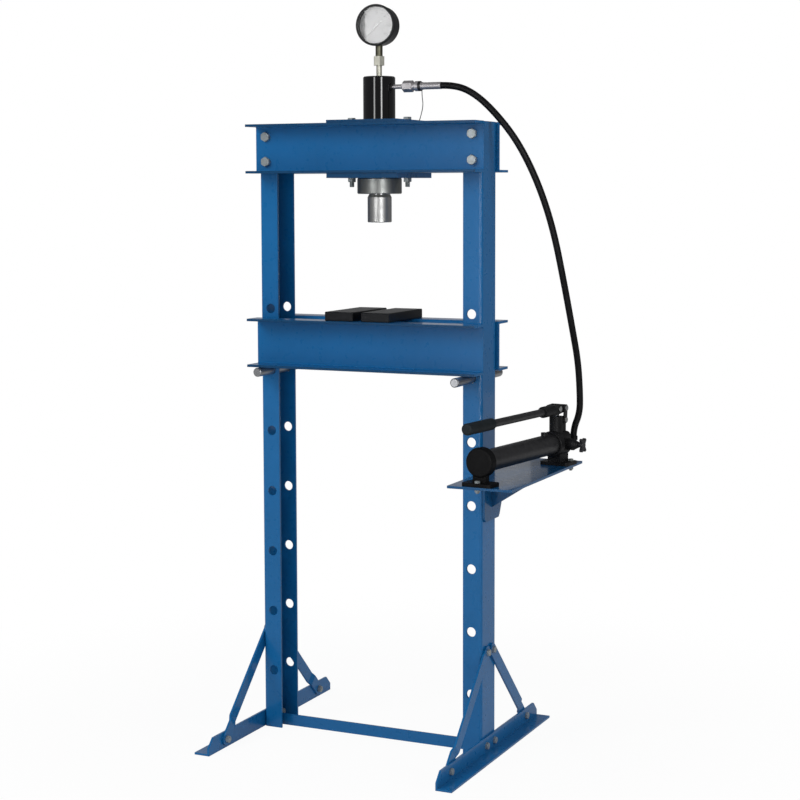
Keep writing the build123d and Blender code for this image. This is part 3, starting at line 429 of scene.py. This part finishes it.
def plated(name, colour, rough=0.28, metal=0.75):
    """Zinc plating: small crystals, a faint warm and cool bloom."""
    f = Finish(name)
    crystals = f.cells(900.0)
    bloom = f.noise(120.0, 3.0)
    warm = (colour[0] * 0.82, colour[1] * 0.80, colour[2] * 0.70)
    base = f.blend(f.ramp(bloom, (0.35, 0.0), (0.7, 1.0)), colour, warm)
    roughness = rough + crystals * 0.10 + bloom * 0.08
    normal = f.bump(crystals, 0.00005, 0.4, f.edges(0.0006))
    return f.done(Base_Color=base, Roughness=roughness, Metallic=metal, Normal=normal)


def rolled_plate(name, colour):
    """Blackened plate with mill scale, rubbed bare in small spots."""
    f = Finish(name)
    scale = f.noise(45.0, 6.0, 0.65)
    spots = f.ramp(f.noise(160.0, 4.0, 0.6), (0.62, 0.0), (0.72, 1.0))
    base = f.blend(f.ramp(scale, (0.35, 0.0), (0.7, 1.0)), colour, shade(colour, 1.8))
    base = f.blend(spots * 0.25, base, (0.10, 0.10, 0.10))
    roughness = 0.28 + scale * 0.2
    normal = f.bump(scale + spots * 0.2, 0.00012, 0.5, f.edges(0.0012))
    return f.done(
        Base_Color=base, Roughness=roughness, Metallic=spots * 0.5, Specular_IOR_Level=0.25, Normal=normal,
    )


def rubber(name, colour, grain=500.0, rough=0.52):
    """Matte moulded rubber with a fine grain."""
    f = Finish(name)
    grains = f.noise(grain, 3.0, 0.6)
    dust = f.noise(30.0, 3.0)
    base = f.blend(f.ramp(dust, (0.4, 0.0), (0.75, 1.0)), colour, shade(colour, 1.7))
    roughness = rough + grains * 0.16
    normal = f.bump(grains, 0.00015, 0.6)
    return f.done(Base_Color=base, Roughness=roughness, Specular_IOR_Level=0.25, Normal=normal)


def covered_hose(name):
    """Smooth hose cover with the faint slant of the wrap under it, following the hose's own length."""
    f = Finish(name)
    surface = f.node("ShaderNodeTexCoord", {}, output="UV")
    slant = f.axis("X", surface) * 1400.0 + f.axis("Y", surface) * (4 * math.pi)
    wrap = slant.math("SINE")
    dust = f.noise(40.0, 3.0)
    base = f.blend(f.ramp(dust, (0.4, 0.0), (0.75, 1.0)), (0.003, 0.003, 0.0035), (0.008, 0.008, 0.009))
    normal = f.bump(wrap * 0.5 + f.noise(600.0) * 0.5, 0.00012, 0.5)
    return f.done(Base_Color=base, Roughness=0.36 + dust * 0.14, Specular_IOR_Level=0.2, Normal=normal)


def printed_dial(name):
    """Enamelled dial, a pale grey below its white: painted shade of the dial deep in its case, with a faint
    haze.
    """
    f = Finish(name)
    dots = f.noise(700.0, 2.0)
    haze = f.noise(22.0, 3.0)
    # The grey stands below the dial's white paint: painted shade of the recess behind the bezel
    base = f.blend(haze, (0.54, 0.54, 0.54), (0.42, 0.42, 0.42))
    relief = f.bump(dots, 0.00003, 0.3)
    return f.done(
        Base_Color=base, Roughness=0.45 + dots * 0.1, Specular_IOR_Level=0.15, Normal=relief,
    )


def ink(name, colour):
    """Printing ink: matte, with a slightly uneven film."""
    f = Finish(name)
    film = f.noise(900.0, 2.0)
    base = f.blend(film, colour, shade(colour, 1.6))
    return f.done(Base_Color=base, Roughness=0.5 + film * 0.15, Specular_IOR_Level=0.1)


def window(name):
    """Flat clear glass: clear to look through, with a mirror's gloss by angle."""
    f = Finish(name)
    haze = f.noise(35.0, 3.0)
    clear = f.node("ShaderNodeBsdfTransparent", {}, Color=rgb(0.99, 0.99, 0.99))
    mirror = f.node("ShaderNodeBsdfGlossy", {}, Color=rgb(1, 1, 1), Roughness=0.02)
    gloss_share = f.node("ShaderNodeFresnel", {}, IOR=1.5) * 0.55 + haze * 0.012
    mixed = f.node("ShaderNodeMixShader", {}, gloss_share, clear, mirror)
    f.node("ShaderNodeOutputMaterial", {}, mixed)
    return f.material


def dress(material, *names):
    """Gives CAD nodes a material."""
    for name in names:
        mesh = nodes[name].data
        mesh.materials.clear()
        mesh.materials.append(material)


# Meshes


def new_object(name, mesh, material=None):
    made = bpy.data.objects.new(name, mesh)
    bpy.context.scene.collection.objects.link(made)
    if material:
        mesh.materials.clear()
        mesh.materials.append(material)
    return made


def smooth(mesh, angle):
    """Smooth faces, with edges sharper than the angle kept sharp."""
    mesh.shade_smooth()
    mesh.set_sharp_from_angle(angle=angle)


def baked(made, name):
    """The object's evaluated mesh as a plain object; the first one is removed."""
    graph = bpy.context.evaluated_depsgraph_get()
    mesh = bpy.data.meshes.new_from_object(made.evaluated_get(graph), depsgraph=graph)
    mesh.name = name
    bpy.data.objects.remove(made)
    return new_object(name, mesh)


def joined(name, objects, material):
    """Several objects as one mesh at the origin."""
    whole = bmesh.new()
    for part in objects:
        part.data.transform(part.matrix_world)
        whole.from_mesh(part.data)
        bpy.data.objects.remove(part)
    mesh = bpy.data.meshes.new(name)
    whole.to_mesh(mesh)
    whole.free()
    return new_object(name, mesh, material)


def hexagon_mesh(height, both_ends):
    """A fastener's hexagon of unit thread size: flats 1.5 apart, with its corners turned off."""
    flats = 1.5
    turned_share = 0.97
    turned_slope = 0.55
    inner_share = 0.5
    steps = 48
    corner = flats / math.sqrt(3)
    edge = flats / 2 * turned_share
    drop = (corner - edge) * turned_slope
    work = bmesh.new()
    rings = []

    def hexagon_radius(angle):
        local = (angle + math.pi / 6) % (math.pi / 3) - math.pi / 6
        return flats / 2 / math.cos(local)

    levels = [(0.0, both_ends), (height, True)]
    for level, turned_off in levels:
        sign = 1 if level else -1
        circle = []
        wall = []
        for step in range(steps):
            angle = 2 * math.pi * step / steps
            out = hexagon_radius(angle + math.pi / 6)
            cut = drop * (out - edge) / (corner - edge) if turned_off and out > edge else 0.0
            way = Vector((math.cos(angle), math.sin(angle), 0))
            wall.append(work.verts.new(way * out + Vector((0, 0, level - sign * cut))))
            inner = edge if turned_off else out * inner_share
            circle.append(work.verts.new(way * inner + Vector((0, 0, level))))
        rings.append((circle, wall))
    (low_circle, low_wall), (high_circle, high_wall) = rings
    for a, b in ((low_circle, low_wall), (low_wall, high_wall), (high_wall, high_circle)):
        for step in range(steps):
            after = (step + 1) % steps
            work.faces.new((a[step], a[after], b[after], b[step]))
    work.faces.new(low_circle)
    work.faces.new(high_circle)
    bmesh.ops.recalc_face_normals(work, faces=work.faces)
    mesh = bpy.data.meshes.new("hexagon")
    work.to_mesh(mesh)
    work.free()
    smooth(mesh, HEXAGON_ANGLE)
    return mesh


def thread_mesh(length, pitch):
    """A threaded end of unit diameter: a ridge wound round a core, with a chamfered tip."""
    steps = 24
    depth_share = 0.55
    taper_share = 0.8
    tip_share = 0.35
    turns = max(2, int(length / pitch))
    pitch = length / (turns + 0.5)
    core = 0.5 - pitch * depth_share
    work = bmesh.new()
    rows = []
    total = turns * steps
    for index in range(total + steps + 1):
        angle = 2 * math.pi * index / steps
        z = pitch * (index - steps) / steps
        row = []
        for share, radius in ((0.0, core), (0.5, 0.5), (1.0, core)):
            height = min(max(z + share * pitch, 0.0), length)
            taper = min(1.0, max(0.0, (length - height) / (pitch * taper_share)))
            reach = core + (radius - core) * (tip_share + (1 - tip_share) * taper)
            row.append(work.verts.new((reach * math.cos(angle), reach * math.sin(angle), height)))
        rows.append(row)
    for before, after in zip(rows, rows[1:]):
        for side in (0, 1):
            work.faces.new((before[side], after[side], after[side + 1], before[side + 1]))
    centre = work.verts.new((0, 0, length))
    tip = [row[2] for row in rows[-steps - 1:]]
    for a, b in zip(tip, tip[1:]):
        work.faces.new((a, b, centre))
    bmesh.ops.remove_doubles(work, verts=work.verts, dist=SAME_PLACE)
    bmesh.ops.recalc_face_normals(work, faces=work.faces)
    mesh = bpy.data.meshes.new("thread")
    work.to_mesh(mesh)
    work.free()
    smooth(mesh, THREAD_ANGLE)
    return mesh


# Geometry Nodes


def socket_id(tree, name):
    """The identifier of a tree's input."""
    for item in tree.interface.items_tree:
        if item.item_type == "SOCKET" and item.in_out == "INPUT" and item.name == name:
            return item.identifier
    raise ValueError(name)


class Shaper(Tree):
    """A Geometry Nodes tree with named inputs, Material among them."""

    def __init__(self, name, **inputs):
        super().__init__(bpy.data.node_groups.new(name, "GeometryNodeTree"))
        sockets = self.tree.interface
        sockets.new_socket("Geometry", in_out="INPUT", socket_type="NodeSocketGeometry")
        for label, kind in inputs.items():
            sockets.new_socket(label, in_out="INPUT", socket_type="NodeSocket" + kind)
        sockets.new_socket("Geometry", in_out="OUTPUT", socket_type="NodeSocketGeometry")
        self.group_in = self.tree.nodes.new("NodeGroupInput")

    def given(self, name):
        return Wire(self, self.group_in.outputs[name])

    def vector(self, x, y, z):
        return self.node("ShaderNodeCombineXYZ", {}, x, y, z)

    def attribute(self, name, kind):
        return self.node(
            "GeometryNodeInputNamedAttribute", {"data_type": kind}, Name=name, output="Attribute",
        )

    def finished(self, geometry):
        """Ends the tree in Realize Instances and Set Material."""
        real = self.node("GeometryNodeRealizeInstances", {}, geometry)
        painted = self.node("GeometryNodeSetMaterial", {}, real, Material=self.given("Material"))
        self.node("NodeGroupOutput", {}, painted)
        return self.tree


def fastener_tree():
    """Sets a copy of a shape on each point, turned as the point's 'turn' and sized as its 'size'."""
    t = Shaper("Fasteners", Shape="Object", Material="Material")
    points = t.node("GeometryNodeMeshToPoints", {}, Mesh=t.given("Geometry"))
    shape = t.node(
        "GeometryNodeObjectInfo", {"transform_space": "ORIGINAL"}, Object=t.given("Shape"),
        output="Geometry",
    )
    placed = t.node(
        "GeometryNodeInstanceOnPoints", {}, Points=points, Instance=shape,
        Rotation=t.attribute("turn", "FLOAT_VECTOR"), Scale=t.attribute("size", "FLOAT"),
    )
    return t.finished(placed)


def dial_tree():
    """Marks round a dial: a count over a sweep at a radius, each a length by a width."""
    t = Shaper(
        "Dial marks", Count="Int", Sweep="Float", Radius="Float", Length="Float", Width="Float",
        Material="Material",
    )
    count, sweep, radius = t.given("Count"), t.given("Sweep"), t.given("Radius")
    share = t.node("GeometryNodeInputIndex", {}).math("DIVIDE", count - 1.0)
    angle = sweep * 0.5 - share * sweep + math.pi / 2
    spot = t.vector(radius * angle.math("COSINE"), radius * angle.math("SINE"), 0.0)
    line = t.node("GeometryNodeMeshLine", {}, Count=count)
    spots = t.node("GeometryNodeSetPosition", {}, Geometry=line, Position=spot)
    size = t.vector(t.given("Length"), t.given("Width"), PRINT_THICKNESS)
    block = t.node("GeometryNodeMeshCube", {}, Size=size)
    placed = t.node(
        "GeometryNodeInstanceOnPoints", {}, Points=spots, Instance=block,
        Rotation=t.vector(0.0, 0.0, angle),
    )
    return t.finished(placed)


def coil_tree():
    """A round wire wound into a spring along Z."""
    t = Shaper(
        "Wound spring", Turns="Float", Radius="Float", Height="Float", Wire="Float",
        Material="Material",
    )
    radius = t.given("Radius")
    spiral = t.node(
        "GeometryNodeCurveSpiral", {}, Resolution=SPRING_STEPS, Rotations=t.given("Turns"),
        Start_Radius=radius, End_Radius=radius, Height=t.given("Height"),
    )
    ring = t.node(
        "GeometryNodeCurvePrimitiveCircle", {}, Resolution=WIRE_STEPS, Radius=t.given("Wire"),
    )
    coil = t.node("GeometryNodeCurveToMesh", {}, Curve=spiral, Profile_Curve=ring, Fill_Caps=True)
    return t.finished(coil)


def run_tree(name, tree, mesh, values):
    """Runs a tree on a mesh with these inputs, and returns the result as a plain object."""
    made = new_object(name + "_source", mesh)
    modifier = made.modifiers.new("nodes", "NODES")
    modifier.node_group = tree
    for label, value in values.items():
        modifier[socket_id(tree, label)] = value
    return baked(made, name)


def cad_islands(name):
    """A CAD node's separate solids, each as a list of its merged corners, always in the same order."""
    work = bmesh.new()
    work.from_mesh(nodes[name].data)
    bmesh.ops.remove_doubles(work, verts=work.verts, dist=SAME_PLACE)
    reached = set()
    islands = []
    for first in work.verts:
        if first in reached:
            continue
        reached.add(first)
        stack = [first]
        island = []
        while stack:
            vert = stack.pop()
            island.append(vert.co.copy())
            for edge in vert.link_edges:
                other = edge.other_vert(vert)
                if other not in reached:
                    reached.add(other)
                    stack.append(other)
        islands.append(island)
    work.free()
    return islands


def fastener_of(corners, size):
    """A bolt or nut read from its corners: its seat, outward axis, a spoke to a corner, height and tail."""
    low = Vector([min(c[i] for c in corners) for i in range(3)])
    high = Vector([max(c[i] for c in corners) for i in range(3)])
    spans = high - low
    centre = (low + high) / 2
    longest = max(range(3), key=lambda i: spans[i])
    pairs = [(abs(spans[a] - spans[b]), 3 - a - b) for a, b in ((0, 1), (0, 2), (1, 2))]
    difference, third = min(pairs)
    axis_index = third if difference < ALIKE_SHARE * size else longest
    axis = Vector([1.0 if i == axis_index else 0.0 for i in range(3)])
    is_bolt = spans[axis_index] > BOLT_SHARE * size
    reach = {}
    for corner in corners:
        flat = corner - centre
        along = flat.dot(axis)
        out = (flat - axis * along).length
        if out > HEXAGON_SHARE * size:
            reach.setdefault(round(along, 5), []).append(flat - axis * along)
    levels = sorted(reach)
    hex_low, hex_high = levels[0], levels[-1]
    outward = -1.0 if is_bolt and hex_high <= spans[axis_index] / 2 - SAME_LEVEL else 1.0
    seat_level = hex_low if outward > 0 else hex_high
    spoke = max(reach[seat_level], key=lambda v: v.length)
    return {
        "bolt": is_bolt,
        "seat": centre + axis * seat_level,
        "axis": axis * outward,
        "spoke": spoke.normalized(),
        "height": hex_high - hex_low,
        "tail": spans[axis_index] - (hex_high - hex_low) if is_bolt else 0.0,
    }


def facing(axis, spoke):
    """The turn that takes +Z to an axis and +X to a spoke."""
    z = axis.normalized()
    x = (spoke - z * spoke.dot(z)).normalized()
    return Matrix((x, z.cross(x), z)).transposed().to_euler()


def point_cloud(places):
    """A mesh of points that carry a turn and a size."""
    mesh = bpy.data.meshes.new("points")
    mesh.from_pydata([p["at"] for p in places], [], [])
    turn = mesh.attributes.new("turn", "FLOAT_VECTOR", "POINT")
    turn.data.foreach_set("vector", [x for p in places for x in p["turn"]])
    size = mesh.attributes.new("size", "FLOAT", "POINT")
    size.data.foreach_set("value", [p["size"] for p in places])
    return mesh


def copies(name, tree, shape_mesh, places, material):
    """Copies of a shape on points."""
    shape = new_object(name + "_shape", shape_mesh)
    made = run_tree(name, tree, point_cloud(places), {"Shape": shape, "Material": material})
    bpy.data.objects.remove(shape)
    return made


def seats(group, size, sign):
    """The place of each fastener of a group, facing along its axis, or against it with a sign of -1."""
    return [{"at": f["seat"], "turn": facing(f["axis"] * sign, f["spoke"]), "size": size} for f in group]


def fasteners(node, size, thread_pitch, material, tree):
    """Heads, nuts and threaded ends in place of a CAD node's plain ones, each bolt with its own length."""
    found = [fastener_of(corners, size) for corners in cad_islands(node)]
    bolts = [f for f in found if f["bolt"]]
    nuts = [f for f in found if not f["bolt"]]
    parts = []
    for label, group in (("head", bolts), ("nut", nuts)):
        if group:
            shape = hexagon_mesh(group[0]["height"] / size, label == "nut")
            parts.append(copies(f"{node}_{label}", tree, shape, seats(group, size, 1), material))
    lengths = {}
    for bolt in bolts:
        lengths.setdefault(round(bolt["tail"] / SAME_LEVEL), []).append(bolt)
    for group in lengths.values():
        shape = thread_mesh(group[0]["tail"] / size, thread_pitch)
        parts.append(copies(f"{node}_shank", tree, shape, seats(group, size, -1), material))
    whole = joined(node + "_set", parts, material)
    smooth(whole.data, HEXAGON_ANGLE)
    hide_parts(node)
    return whole


# Operators


class PRESS_OT_frame(bpy.types.Operator):
    """Enamels the frame and its shelf, and finishes the arbor plates and the bed's pins."""

    bl_idname = "press.frame"
    bl_label = "Frame"

    def execute(self, context):
        settings = context.scene.press
        colour = tuple(settings.frame_colour)
        dress(
            enamel("blue_enamel", colour), "column_left", "column_right", "bed_spacers",
            "foot_left", "foot_right", "brace_left_front", "brace_left_rear", "brace_right_front",
            "brace_right_rear", "spreader_bar",
        )
        # The shelf gets the frame colour at 0.6: painted shade, as if the pump's shadow lay over it
        dress(enamel("shelf_enamel", shade(colour, 0.6), relief=0.12), "pump_shelf")
        pairs = (
            ("beam_enamel", "top_beam_front", "top_beam_rear"),
            ("bed_enamel", "bed_channel_front", "bed_channel_rear"),
            ("plate_enamel", "cylinder_plate_top", "cylinder_plate_bottom"),
        )
        # The beams, bed channels and cylinder plates darken at their outer flange edges: partly thin paint
        # on the cut edge, partly painted shade
        for name, front, rear in pairs:
            depth = -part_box(front)[0][1]
            dress(enamel(name, colour, depth - EDGE_SKIN), front, rear)
        black = rolled_plate("blackened_plate", (0.004, 0.0045, 0.006))
        dress(black, "arbor_plate_left", "arbor_plate_right")
        pins = turned_steel("pin_steel", (0.44, 0.45, 0.47), 0.3, (0, 0, 0), "Y")
        dress(pins, "bed_pin_left", "bed_pin_right")
        return {"FINISHED"}


class PRESS_OT_fasteners(bpy.types.Operator):
    """Gives every bolt and nut a turned-off hexagon, and every bolt a real thread."""

    bl_idname = "press.fasteners"
    bl_label = "Fasteners"

    def execute(self, context):
        zinc = plated("zinc_plate", (0.37, 0.41, 0.44), metal=0.5)
        tree = fastener_tree()
        pitch = context.scene.press.thread_pitch
        for node, size in THREAD_SIZES.items():
            whole = fasteners(node, size, pitch, zinc, tree)
            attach(whole, "frame")
        return {"FINISHED"}


class PRESS_OT_cylinder(bpy.types.Operator):
    """Finishes the cylinder, ring nut, ram and nose, and winds the return spring."""

    bl_idname = "press.cylinder"
    bl_label = "Cylinder"

    def execute(self, context):
        centre = (CYLINDER_X, 0, 0)
        dress(gloss("cylinder_gloss", (0.003, 0.003, 0.0035)), "cylinder_body")
        dress(turned_steel("ring_nut_steel", (0.33, 0.34, 0.33), 0.34, centre), "cylinder_ring_nut")
        dress(turned_steel("nose_steel", (0.60, 0.60, 0.59), 0.34, centre), "ram_nose")
        dress(turned_steel("ground_chrome", (0.80, 0.80, 0.82), 0.08, centre), "ram", "pump_plunger")
        dress(turned_steel("gland_bronze", (0.60, 0.38, 0.15), 0.3, centre), "cylinder_gland")
        dress(rubber("seal_rubber", (0.012, 0.012, 0.012)), "ram_seal")
        spring_steel = plated("spring_steel", (0.30, 0.30, 0.31), 0.35)
        settings = context.scene.press
        wire = SPRING_WIRE
        height = SPRING_LENGTH - 2 * wire
        values = {
            "Turns": float(settings.spring_turns), "Radius": SPRING_RADIUS, "Height": height, "Wire": wire,
            "Material": spring_steel,
        }
        mesh = bpy.data.meshes.new("spring_source")
        coil = run_tree("return_spring_coil", coil_tree(), mesh, values)
        coil.data.transform(Matrix.Translation((CYLINDER_X, 0, CHAMBER_TOP - wire - height)))
        smooth(coil.data, SPRING_ANGLE)
        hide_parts("return_spring")
        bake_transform(coil)
        return {"FINISHED"}


class PRESS_OT_gauge(bpy.types.Operator):
    """Finishes the gauge and prints its dial."""

    bl_idname = "press.gauge"
    bl_label = "Gauge"

    def execute(self, context):
        settings = context.scene.press
        face = Matrix.Translation((CYLINDER_X, 0, GAUGE_Z))
        face = face @ Matrix.Rotation(GAUGE_TURN, 4, "Z") @ Matrix.Rotation(math.pi / 2, 4, "X")
        dress(casting("gauge_black", (0.012, 0.012, 0.013), 700.0, 0.28), "gauge_case")
        dress(printed_dial("dial_enamel"), "gauge_dial")
        dress(window("gauge_window"), "gauge_glass")
        centre = (CYLINDER_X, 0, 0)
        dress(turned_steel("needle_steel", (0.36, 0.36, 0.36), 0.26, centre), "gauge_needle")
        dress(turned_steel("stem_brass", (0.17, 0.165, 0.12), 0.36, centre), "gauge_stem")
        union = turned_steel("union_nickel", (0.66, 0.65, 0.56), 0.34, centre, metal=0.6)
        dress(union, "gauge_union")
        black = ink("dial_ink", (0.012, 0.012, 0.014))
        tree = dial_tree()
        steps = settings.dial_steps
        fine = steps * settings.dial_small_steps + 1
        parts = []
        rows = (("short", fine, SHORT_MARKS), ("long", steps + 1, LONG_MARKS))
        for label, count, (radius, length, width) in rows:
            values = {
                "Count": count, "Sweep": settings.dial_sweep, "Radius": radius, "Length": length,
                "Width": width, "Material": black,
            }
            mesh = bpy.data.meshes.new("dial_source")
            parts.append(run_tree("dial_" + label, tree, mesh, values))
        for step in range(steps + 1):
            angle = math.pi / 2 + settings.dial_sweep * (0.5 - step / steps)
            parts.append(self.number(step, angle))
        print_piece = joined("dial_print", parts, black)
        print_piece.data.transform(face @ Matrix.Translation((0, 0, DIAL_FRONT + PRINT_GAP)))
        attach(print_piece, "frame")
        return {"FINISHED"}

    def number(self, step, angle):
        """The upright number of a step, at its angle round the dial."""
        text = bpy.data.curves.new("dial_number", "FONT")
        text.body = str(NUMBER_STEP * step)
        text.size = NUMBER_SIZE
        text.align_x = "CENTER"
        text.align_y = "CENTER"
        text.extrude = PRINT_THICKNESS / 2
        number = baked(new_object("dial_number", text), f"dial_number_{step}")
        spot = Vector((math.cos(angle), math.sin(angle), 0)) * NUMBER_RADIUS
        number.data.transform(Matrix.Translation(spot))
        return number


class PRESS_OT_hose(bpy.types.Operator):
    """Finishes the coupler and lays the hose, the tether and the dust cap."""

    bl_idname = "press.hose"
    bl_label = "Hose"

    def execute(self, context):
        settings = context.scene.press
        centre = (0, 0, COUPLER_Z)
        silver = turned_steel("coupler_steel", (0.60, 0.58, 0.59), 0.34, centre, "X", 0.8)
        dress(silver, "coupler_body", "coupler_nipple", "hose_ferrule")
        low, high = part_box("coupler_sleeve")
        band = low[0] + (high[0] - low[0]) * SLEEVE_BAND
        sleeve = turned_steel("sleeve_steel", (0.66, 0.64, 0.65), 0.3, centre, "X", 0.8, band)
        dress(sleeve, "coupler_sleeve")
        dress(rubber("cap_rubber", (0.012, 0.012, 0.012)), "dust_cap")
        hose = self.cord("press_hose", HOSE_ROUTE, settings.hose_diameter, covered_hose("hose_cover"))
        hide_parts("hose")
        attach(hose, "frame")
        wire = rubber("tether_plastic", (0.05, 0.05, 0.052), 900.0, 0.4)
        tether = self.cord("cap_wire", TETHER_ROUTE, settings.tether_diameter, wire)
        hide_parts("cap_tether")
        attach(tether, "frame")
        return {"FINISHED"}

    def cord(self, name, route, diameter, material):
        """A round cord along a smooth line that the route's points pull."""
        curve = bpy.data.curves.new(name, "CURVE")
        curve.dimensions = "3D"
        curve.bevel_depth = diameter / 2
        curve.bevel_resolution = CORD_ROUNDNESS
        curve.use_fill_caps = True
        line = curve.splines.new("NURBS")
        line.points.add(len(route) - 1)
        for point, place in zip(line.points, route):
            point.co = (*place, 1)
        line.order_u = 3
        line.use_endpoint_u = True
        line.resolution_u = CORD_STEPS
        line.use_smooth = True
        curve.materials.append(material)
        made = bpy.data.objects.new(name, curve)
        bpy.context.scene.collection.objects.link(made)
        return made


class PRESS_OT_pump(bpy.types.Operator):
    """Finishes the hand pump's castings, tube, lever, grip and pins."""

    bl_idname = "press.pump"
    bl_label = "Pump"

    def execute(self, context):
        black = tuple(context.scene.press.pump_colour)
        dress(casting("pump_casting", black), "pump_head", "lever_socket", "hose_elbow")
        dress(casting("cap_casting", shade(black, 0.4), 320.0, 0.5, 0.15), "pump_end_cap")
        tube_paint = casting("pump_tube_paint", shade(black, 1.6), 900.0, 0.34, 0.6)
        dress(tube_paint, "reservoir_tube", "handle_rod", "release_knob")
        dress(rubber("grip_rubber", (0.008, 0.012, 0.015), 380.0), "handle_grip")
        dress(rubber("plug_plastic", (0.010, 0.010, 0.010), 800.0, 0.35), "filler_plug")
        dress(rolled_plate("link_steel", (0.014, 0.014, 0.015)), "link_plates")
        dress(plated("pin_zinc", (0.42, 0.43, 0.45), 0.3), "link_pins", "plunger_pin")
        return {"FINISHED"}


class PRESS_OT_stage(bpy.types.Operator):
    """Makes the pale floor, the world, the lamps and the camera."""

    bl_idname = "press.stage"
    bl_label = "Stage"

    def execute(self, context):
        self.floor()
        self.world()
        self.lamps()
        self.camera()
        context.scene.view_settings.view_transform = "Standard"
        return {"FINISHED"}

    def floor(self):
        f = Finish("pale_floor")
        paint = f.blend(f.noise(3.0), (0.90, 0.90, 0.90), (0.93, 0.93, 0.93))
        lit = f.node("ShaderNodeBsdfDiffuse", {}, Color=paint)
        white = f.node("ShaderNodeEmission", {}, Color=rgb(1, 1, 1), Strength=1.0)
        mirrored = f.node("ShaderNodeEmission", {}, Color=rgb(1, 1, 1), Strength=MIRRORED_FLOOR)
        camera, glossy, through = f.rays("Camera", "Glossy", "Transmission")
        reach = f.node("ShaderNodeVectorMath", {"operation": "LENGTH"}, f.place, output="Value")
        share = f.node(
            "ShaderNodeMapRange", {"interpolation_type": "SMOOTHSTEP"},
            reach, FLOOR_NEAR, FLOOR_FAR, FLOOR_WHITE, 1.0,
        )
        seen = camera.math("MAXIMUM", through)
        direct = f.node("ShaderNodeMixShader", {}, seen * share, lit, white)
        mixed = f.node("ShaderNodeMixShader", {}, glossy, direct, mirrored)
        f.node("ShaderNodeOutputMaterial", {}, mixed)
        work = bmesh.new()
        bmesh.ops.create_grid(work, x_segments=8, y_segments=8, size=FLOOR_SIZE)
        mesh = bpy.data.meshes.new("floor")
        work.to_mesh(mesh)
        work.free()
        floor = new_object("floor", mesh, f.material)
        floor.data.transform(Matrix.Translation((0, 0, -FLOOR_DROP)))

    def world(self):
        world = bpy.data.worlds.new("studio")
        bpy.context.scene.world = world
        world.use_nodes = True
        t = Tree(world.node_tree)
        lit = t.node("ShaderNodeBackground", {}, Color=rgb(*SKY_COLOUR), Strength=SKY_LIGHT)
        mirrored = t.node("ShaderNodeBackground", {}, Color=rgb(*SKY_COLOUR), Strength=MIRRORED_SKY)
        white = t.node("ShaderNodeBackground", {}, Color=rgb(1, 1, 1), Strength=1.0)
        camera, glossy, through = t.rays("Camera", "Glossy", "Transmission")
        direct = t.node("ShaderNodeMixShader", {}, glossy, lit, mirrored)
        seen = camera.math("MAXIMUM", through)
        mixed = t.node("ShaderNodeMixShader", {}, seen, direct, white)
        t.node("ShaderNodeOutputWorld", {}, mixed)

    def lamp(self, name, azimuth, elevation, distance, size, power, aim, mirrored):
        """An area lamp round the press: azimuth 0 is in front of it and 90 to its right."""
        data = bpy.data.lights.new(name, "AREA")
        data.shape = "RECTANGLE"
        data.size, data.size_y = size
        data.energy = power
        lamp = bpy.data.objects.new(name, data)
        bpy.context.scene.collection.objects.link(lamp)
        lamp.visible_camera = False
        lamp.visible_glossy = mirrored
        lamp.visible_diffuse = not mirrored
        a, e = math.radians(azimuth), math.radians(elevation)
        way = Vector((math.sin(a) * math.cos(e), -math.cos(a) * math.cos(e), math.sin(e)))
        lamp.location = Vector(aim) + way * distance
        lamp.rotation_euler = way.to_track_quat("Z", "Y").to_euler()

    def lamps(self):
        for row in LIGHTING_LAMPS:
            self.lamp(*row, mirrored=False)
        for row in MIRRORED_LAMPS:
            self.lamp(*row, mirrored=True)

    def camera(self):
        data = bpy.data.cameras.new("camera")
        data.sensor_width = CAMERA_SENSOR
        data.lens = CAMERA_LENS
        data.shift_y = CAMERA_SHIFT
        data.clip_start = CAMERA_NEAR
        data.clip_end = CAMERA_FAR
        camera = bpy.data.objects.new("camera", data)
        bpy.context.scene.collection.objects.link(camera)
        a, p = CAMERA_TURN, CAMERA_DIP
        forward = Vector((-math.sin(a) * math.cos(p), math.cos(a) * math.cos(p), -math.sin(p)))
        right = Vector((math.cos(a), math.sin(a), 0))
        up = right.cross(forward)
        rolled = right * math.cos(CAMERA_ROLL) + up * math.sin(CAMERA_ROLL)
        up = up * math.cos(CAMERA_ROLL) - right * math.sin(CAMERA_ROLL)
        turn = Matrix((rolled, up, -forward)).transposed()
        camera.matrix_world = Matrix.Translation(CAMERA_PLACE) @ turn.to_4x4()
        bpy.context.scene.camera = camera


class PRESS_PT_panel(bpy.types.Panel):
    """Lists the settings and the steps."""

    bl_label = "Shop Press"
    bl_space_type = "VIEW_3D"
    bl_region_type = "UI"
    bl_category = "Press"

    def draw(self, context):
        column = self.layout.column()
        for name in PressSettings.__annotations__:
            column.prop(context.scene.press, name)
        for step in STEPS:
            column.operator(step.bl_idname)


STEPS = (
    PRESS_OT_frame, PRESS_OT_fasteners, PRESS_OT_cylinder, PRESS_OT_gauge, PRESS_OT_hose,
    PRESS_OT_pump, PRESS_OT_stage,
)
CLASSES = (PressSettings, *STEPS, PRESS_PT_panel)


def register():
    for item in CLASSES:
        bpy.utils.register_class(item)
    bpy.types.Scene.press = bpy.props.PointerProperty(type=PressSettings)


def unregister():
    del bpy.types.Scene.press
    for item in reversed(CLASSES):
        bpy.utils.unregister_class(item)


def main():
    register()
    bpy.ops.press.stage()
    bpy.ops.press.hose()
    bpy.ops.press.frame()
    bpy.ops.press.fasteners()
    bpy.ops.press.cylinder()
    bpy.ops.press.gauge()
    bpy.ops.press.pump()


if __name__ == "__main__":
    main()
